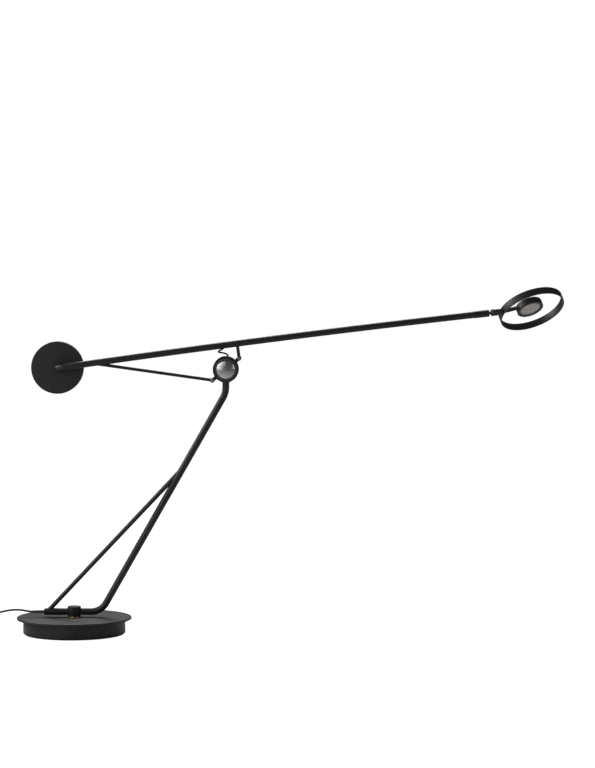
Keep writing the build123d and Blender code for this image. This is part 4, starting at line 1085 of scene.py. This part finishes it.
@dataclass
class MainsCord:
    """The mains cord from the bushing in the foot of the stem to the plug adapter."""

    finishes: Finishes
    diameter: float = 0.0036
    length: float = 1.78
    loop_pitch: float = 0.00415
    mean_r: float = 0.0215
    turns: float = 11.5
    layers: int = 4
    centre: tuple[float, float] = (-0.262, 0.036)
    floor_z: float = 0.00295
    per_turn: int = 16
    relief_start: float = -0.0512
    relief_end: float = -0.0712
    axis_z: float = 0.0387
    lead_r: float = 0.00183
    plug_r: float = 0.00447
    plug_depth: float = 0.009
    flange_r: float = 0.0052
    flange: float = 0.0012
    root_r: float = 0.0027
    nose_r: float = 0.0022
    ribs: int = 7
    groove: float = 0.00035
    groove_slope: float = 0.0003
    route: tuple[tuple[float, float, float], ...] = (
        (-0.0712, 0.0, 0.0387),
        (-0.0792, 0.0, 0.0387),
        (-0.0965, 0.0, 0.0425),
        (-0.1200, -0.0002, 0.0403),
        (-0.1415, 0.0004, 0.0336),
        (-0.1620, 0.0022, 0.0240),
        (-0.1835, 0.0046, 0.0136),
        (-0.2045, 0.0070, 0.0062),
        (-0.2260, 0.0083, 0.0032),
        (-0.2440, 0.0085, 0.00295),
    )
    adapter_start: float = -0.214
    adapter_relief: float = 0.016
    adapter_rise: float = 0.0165
    tail_shift: float = 0.0026
    tail_lead: float = 0.007

    def coil(self) -> np.ndarray:
        """The wound turns as control points.

        Formula: a circle about the coil's centre, clockwise from above, whose radius swings between
        the outer and inner one once a layer, and whose height climbs one pitch in a smooth half turn
        at each swing. The radius is raised a little because the spline cuts inside its points.
        """
        t = np.arange(0, self.turns + 1e-9, 1 / self.per_turn)
        each = self.turns / self.layers
        layer = np.minimum((t / each).astype(int), self.layers - 1)
        within = t / each - layer
        inward = np.where(layer % 2 == 0, within, 1 - within)
        half = self.loop_pitch * each / 2
        cut = 0.75 + 0.25 * math.cos(2 * math.pi / self.per_turn)
        radius = (self.mean_r + half - 2 * half * inward) / cut
        starts = np.arange(1, self.layers)[:, None] * each - 0.25
        share = np.clip((t - starts) / 0.5, 0, 1)
        height = (share**2 * (3 - 2 * share)).sum(axis=0)
        angle = -math.pi / 2 - 2 * math.pi * t
        x, y = self.centre[0] + radius * np.cos(angle), self.centre[1] + radius * np.sin(angle)
        return np.stack([x, y, self.floor_z + height * self.loop_pitch], axis=1)

    def points(self) -> np.ndarray:
        """The whole cord's control points: the route, the coil and the tail into the adapter."""
        coil = self.coil()
        outer_r = self.mean_r + self.loop_pitch * self.turns / self.layers / 2
        tail_y = self.centre[1] + outer_r + self.tail_shift
        end = np.array([self.adapter_start - self.adapter_relief, tail_y, self.adapter_rise])
        last = coil[-1]
        tail = np.array([last + RIGHT * self.tail_lead, end - RIGHT * self.tail_lead, end])
        return np.vstack([self.route, coil, tail])

    def build(self, frame: dict) -> list[bpy.types.Object]:
        """Makes the cord as one spline, its ribbed bushing and the adapter's sleeves."""
        f = self.finishes
        points = self.points()
        curve = bpy.data.curves.new("mains_lead", "CURVE")
        curve.dimensions = "3D"
        curve.bevel_depth = self.diameter / 2
        curve.bevel_resolution = 5
        curve.use_fill_caps = True
        curve.resolution_u = 6
        spline = curve.splines.new("NURBS")
        spline.points.add(len(points) - 1)
        spline.points.foreach_set("co", np.hstack([points, np.ones((len(points), 1))]).ravel())
        spline.order_u = 3
        spline.use_endpoint_u = True
        curve.materials.append(f.sheath)
        lead = put("mains_lead", curve)
        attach(lead, Body.STEM.value)
        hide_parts("mains_cord", "cord_coil", "cord_tail")

        bushing = self.bushing()
        dress(frame, ["cord_tie"], f.strap)
        dress(frame, ["adapter_relief", "plug_adapter"], f.black_plastic)
        dress(frame, ["plug_pins"], f.brass)
        return [lead, bushing]

    def bushing(self) -> bpy.types.Object:
        """The tapered strain relief with ring grooves, plugged into the end of the stem tube."""
        end = self.relief_start - self.relief_end
        pitch, slope = (end - 0.004) / self.ribs, self.groove_slope
        wide = pitch * 0.42
        grooves = []
        for ring in range(self.ribs):
            at = 0.003 + ring * pitch
            outer = self.root_r - (self.root_r - self.nose_r) * at / end
            inner = outer - self.groove
            grooves += [(outer, at), (inner, at + slope), (inner, at + wide), (outer, at + wide + slope)]
        lead, plug, back = self.lead_r, self.plug_r, -self.plug_depth
        profile = rounded(
            [
                (lead, back), (plug, back), (plug, 0.0), (self.flange_r, 0.0), (self.flange_r, self.flange),
                (self.root_r, self.flange), *grooves, (self.nose_r, end), (lead, end), (lead, back),
            ],
            [0.0, 0.0, 0.0, 0.0004, 0.0003] + [0.0] * len(grooves) + [0.0002, 0.0],
            4,
        )
        grid = lathe(profile[:-1], (self.relief_start, 0, self.axis_z), -RIGHT, 64)
        piece = solid("cord_bushing", grid, Body.STEM, self.finishes.rubber, True)
        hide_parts("cord_gland")
        return piece


@dataclass
class Studio:
    """White floor and surroundings, soft lamps and the camera at the photograph's place."""

    distance: float = 5.202
    camera_x: float = 0.3895
    camera_z: float = 0.739
    pitch: float = 3.33
    lens: float = 140.6
    floor_r: float = 2.6
    glow: float = 1.12
    glow_share: float = 0.85
    flag: float = 0.60
    backdrop: float = 1.03
    fill: float = 0.45
    mirrored_fill: float = 0.08

    def camera(self) -> None:
        """A long lens, level but for a slight tilt down."""
        data = bpy.data.cameras.new("camera")
        data.lens = self.lens
        data.sensor_width = 36.0
        data.clip_end = 60.0
        camera = put("camera", data)
        camera.location = (self.camera_x, -self.distance, self.camera_z)
        camera.rotation_euler = (math.radians(90 - self.pitch), 0.0, 0.0)
        bpy.context.scene.camera = camera

    def floor(self) -> None:
        """A round white floor; past its rim the white surroundings go on without an edge."""
        turn = np.linspace(0, 2 * math.pi, 96, endpoint=False)
        rim = np.stack([np.cos(turn), np.sin(turn), np.zeros_like(turn)], axis=1) * self.floor_r
        mesh = bpy.data.meshes.new("studio_floor")
        mesh.from_pydata(rim, [], [list(range(len(rim)))])
        sheet = put("studio_floor", mesh)
        mesh.materials.append(self.paper())

    def paper(self) -> bpy.types.Material:
        """White paper that reads as plain white to the camera and as dark flags in reflections."""
        paper = Shader("studio_paper", (0.86, 0.86, 0.86), 0.9, specular=0.0)
        rays = paper.tree.nodes.new("ShaderNodeLightPath")
        seen = Tap(paper, rays.outputs["Is Camera Ray"])
        mirrored = Tap(paper, rays.outputs["Is Glossy Ray"])
        glow = paper.node("ShaderNodeEmission", None, {"Color": (1, 1, 1, 1), "Strength": self.glow})
        flag = paper.node("ShaderNodeEmission", None, {"Color": (0, 0, 0, 1), "Strength": 0.0})
        matt = Tap(paper, paper.surface.outputs[0])
        bright = paper.node("ShaderNodeMixShader", None, {0: seen * self.glow_share, 1: matt, 2: glow})
        blend = paper.node("ShaderNodeMixShader", None, {0: mirrored * self.flag, 1: bright, 2: flag})
        out = next(n for n in paper.tree.nodes if n.type == "OUTPUT_MATERIAL")
        paper.tree.links.new(blend.socket, out.inputs["Surface"])
        return paper.material

    def world(self) -> None:
        """Soft even light all round, seen as white by the camera and as dim in reflections."""
        world = bpy.data.worlds.new("studio_world")
        world.use_nodes = True
        tree = world.node_tree
        back = next(n for n in tree.nodes if n.type == "BACKGROUND")
        rays = tree.nodes.new("ShaderNodeLightPath")
        level = tree.nodes.new("ShaderNodeMapRange")
        level.inputs["To Min"].default_value = self.fill
        level.inputs["To Max"].default_value = self.backdrop
        tree.links.new(rays.outputs["Is Camera Ray"], level.inputs["Value"])
        shade = tree.nodes.new("ShaderNodeMath")
        shade.operation = "MULTIPLY_ADD"
        shade.inputs[1].default_value = self.mirrored_fill - self.fill
        tree.links.new(rays.outputs["Is Glossy Ray"], shade.inputs[0])
        tree.links.new(level.outputs[0], shade.inputs[2])
        tree.links.new(shade.outputs[0], back.inputs["Strength"])
        back.inputs["Color"].default_value = (1, 1, 1, 1)
        bpy.context.scene.world = world

    def lamp(
        self, name: str, place: Sequence[float], aim: Sequence[float], size: float, power: float
    ) -> None:
        """A square soft box that looks at a point."""
        data = bpy.data.lights.new(name, "AREA")
        data.shape = "SQUARE"
        data.size = size
        data.energy = power
        light = put(name, data)
        light.location = place
        way = np.asarray(aim, dtype=float) - np.asarray(place, dtype=float)
        flat = math.hypot(way[0], way[1])
        light.rotation_euler = (math.atan2(flat, -way[2]), 0.0, math.atan2(-way[0], way[1]))

    def build(self) -> None:
        """Sets up the whole studio."""
        self.camera()
        self.floor()
        self.world()
        self.lamp("key", (-1.7, 0.3, 1.5), (0.1, 0, 0.4), 1.3, 62)
        self.lamp("top", (0.2, 1.6, 2.3), (0.3, 0, 0.1), 1.8, 92)
        self.lamp("front", (-2.0, -2.2, 1.35), (0.25, 0, 0.4), 2.2, 58)
        self.lamp("side", (2.4, -1.6, 1.0), (0.4, 0, 0.4), 1.0, 14)
        bpy.context.scene.view_settings.view_transform = "Standard"


def main() -> None:
    """Loads the frame, builds the studio, the cord and the lamp, and logs each piece that it makes."""
    logging.basicConfig(level=logging.INFO, format="%(name)s: %(message)s")
    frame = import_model()
    Studio().build()
    lamp = LampFrame()
    finishes = Finishes(lamp)
    parts = [
        MainsCord(finishes),
        Base(finishes),
        Stem(finishes, lamp),
        Pivot(finishes, lamp),
        Arm(finishes, lamp),
        Head(finishes, lamp),
    ]
    for part in parts:
        for piece in part.build(frame):
            LOG.info("%s: %s", type(part).__name__, piece.name)


if __name__ == "__main__":
    main()
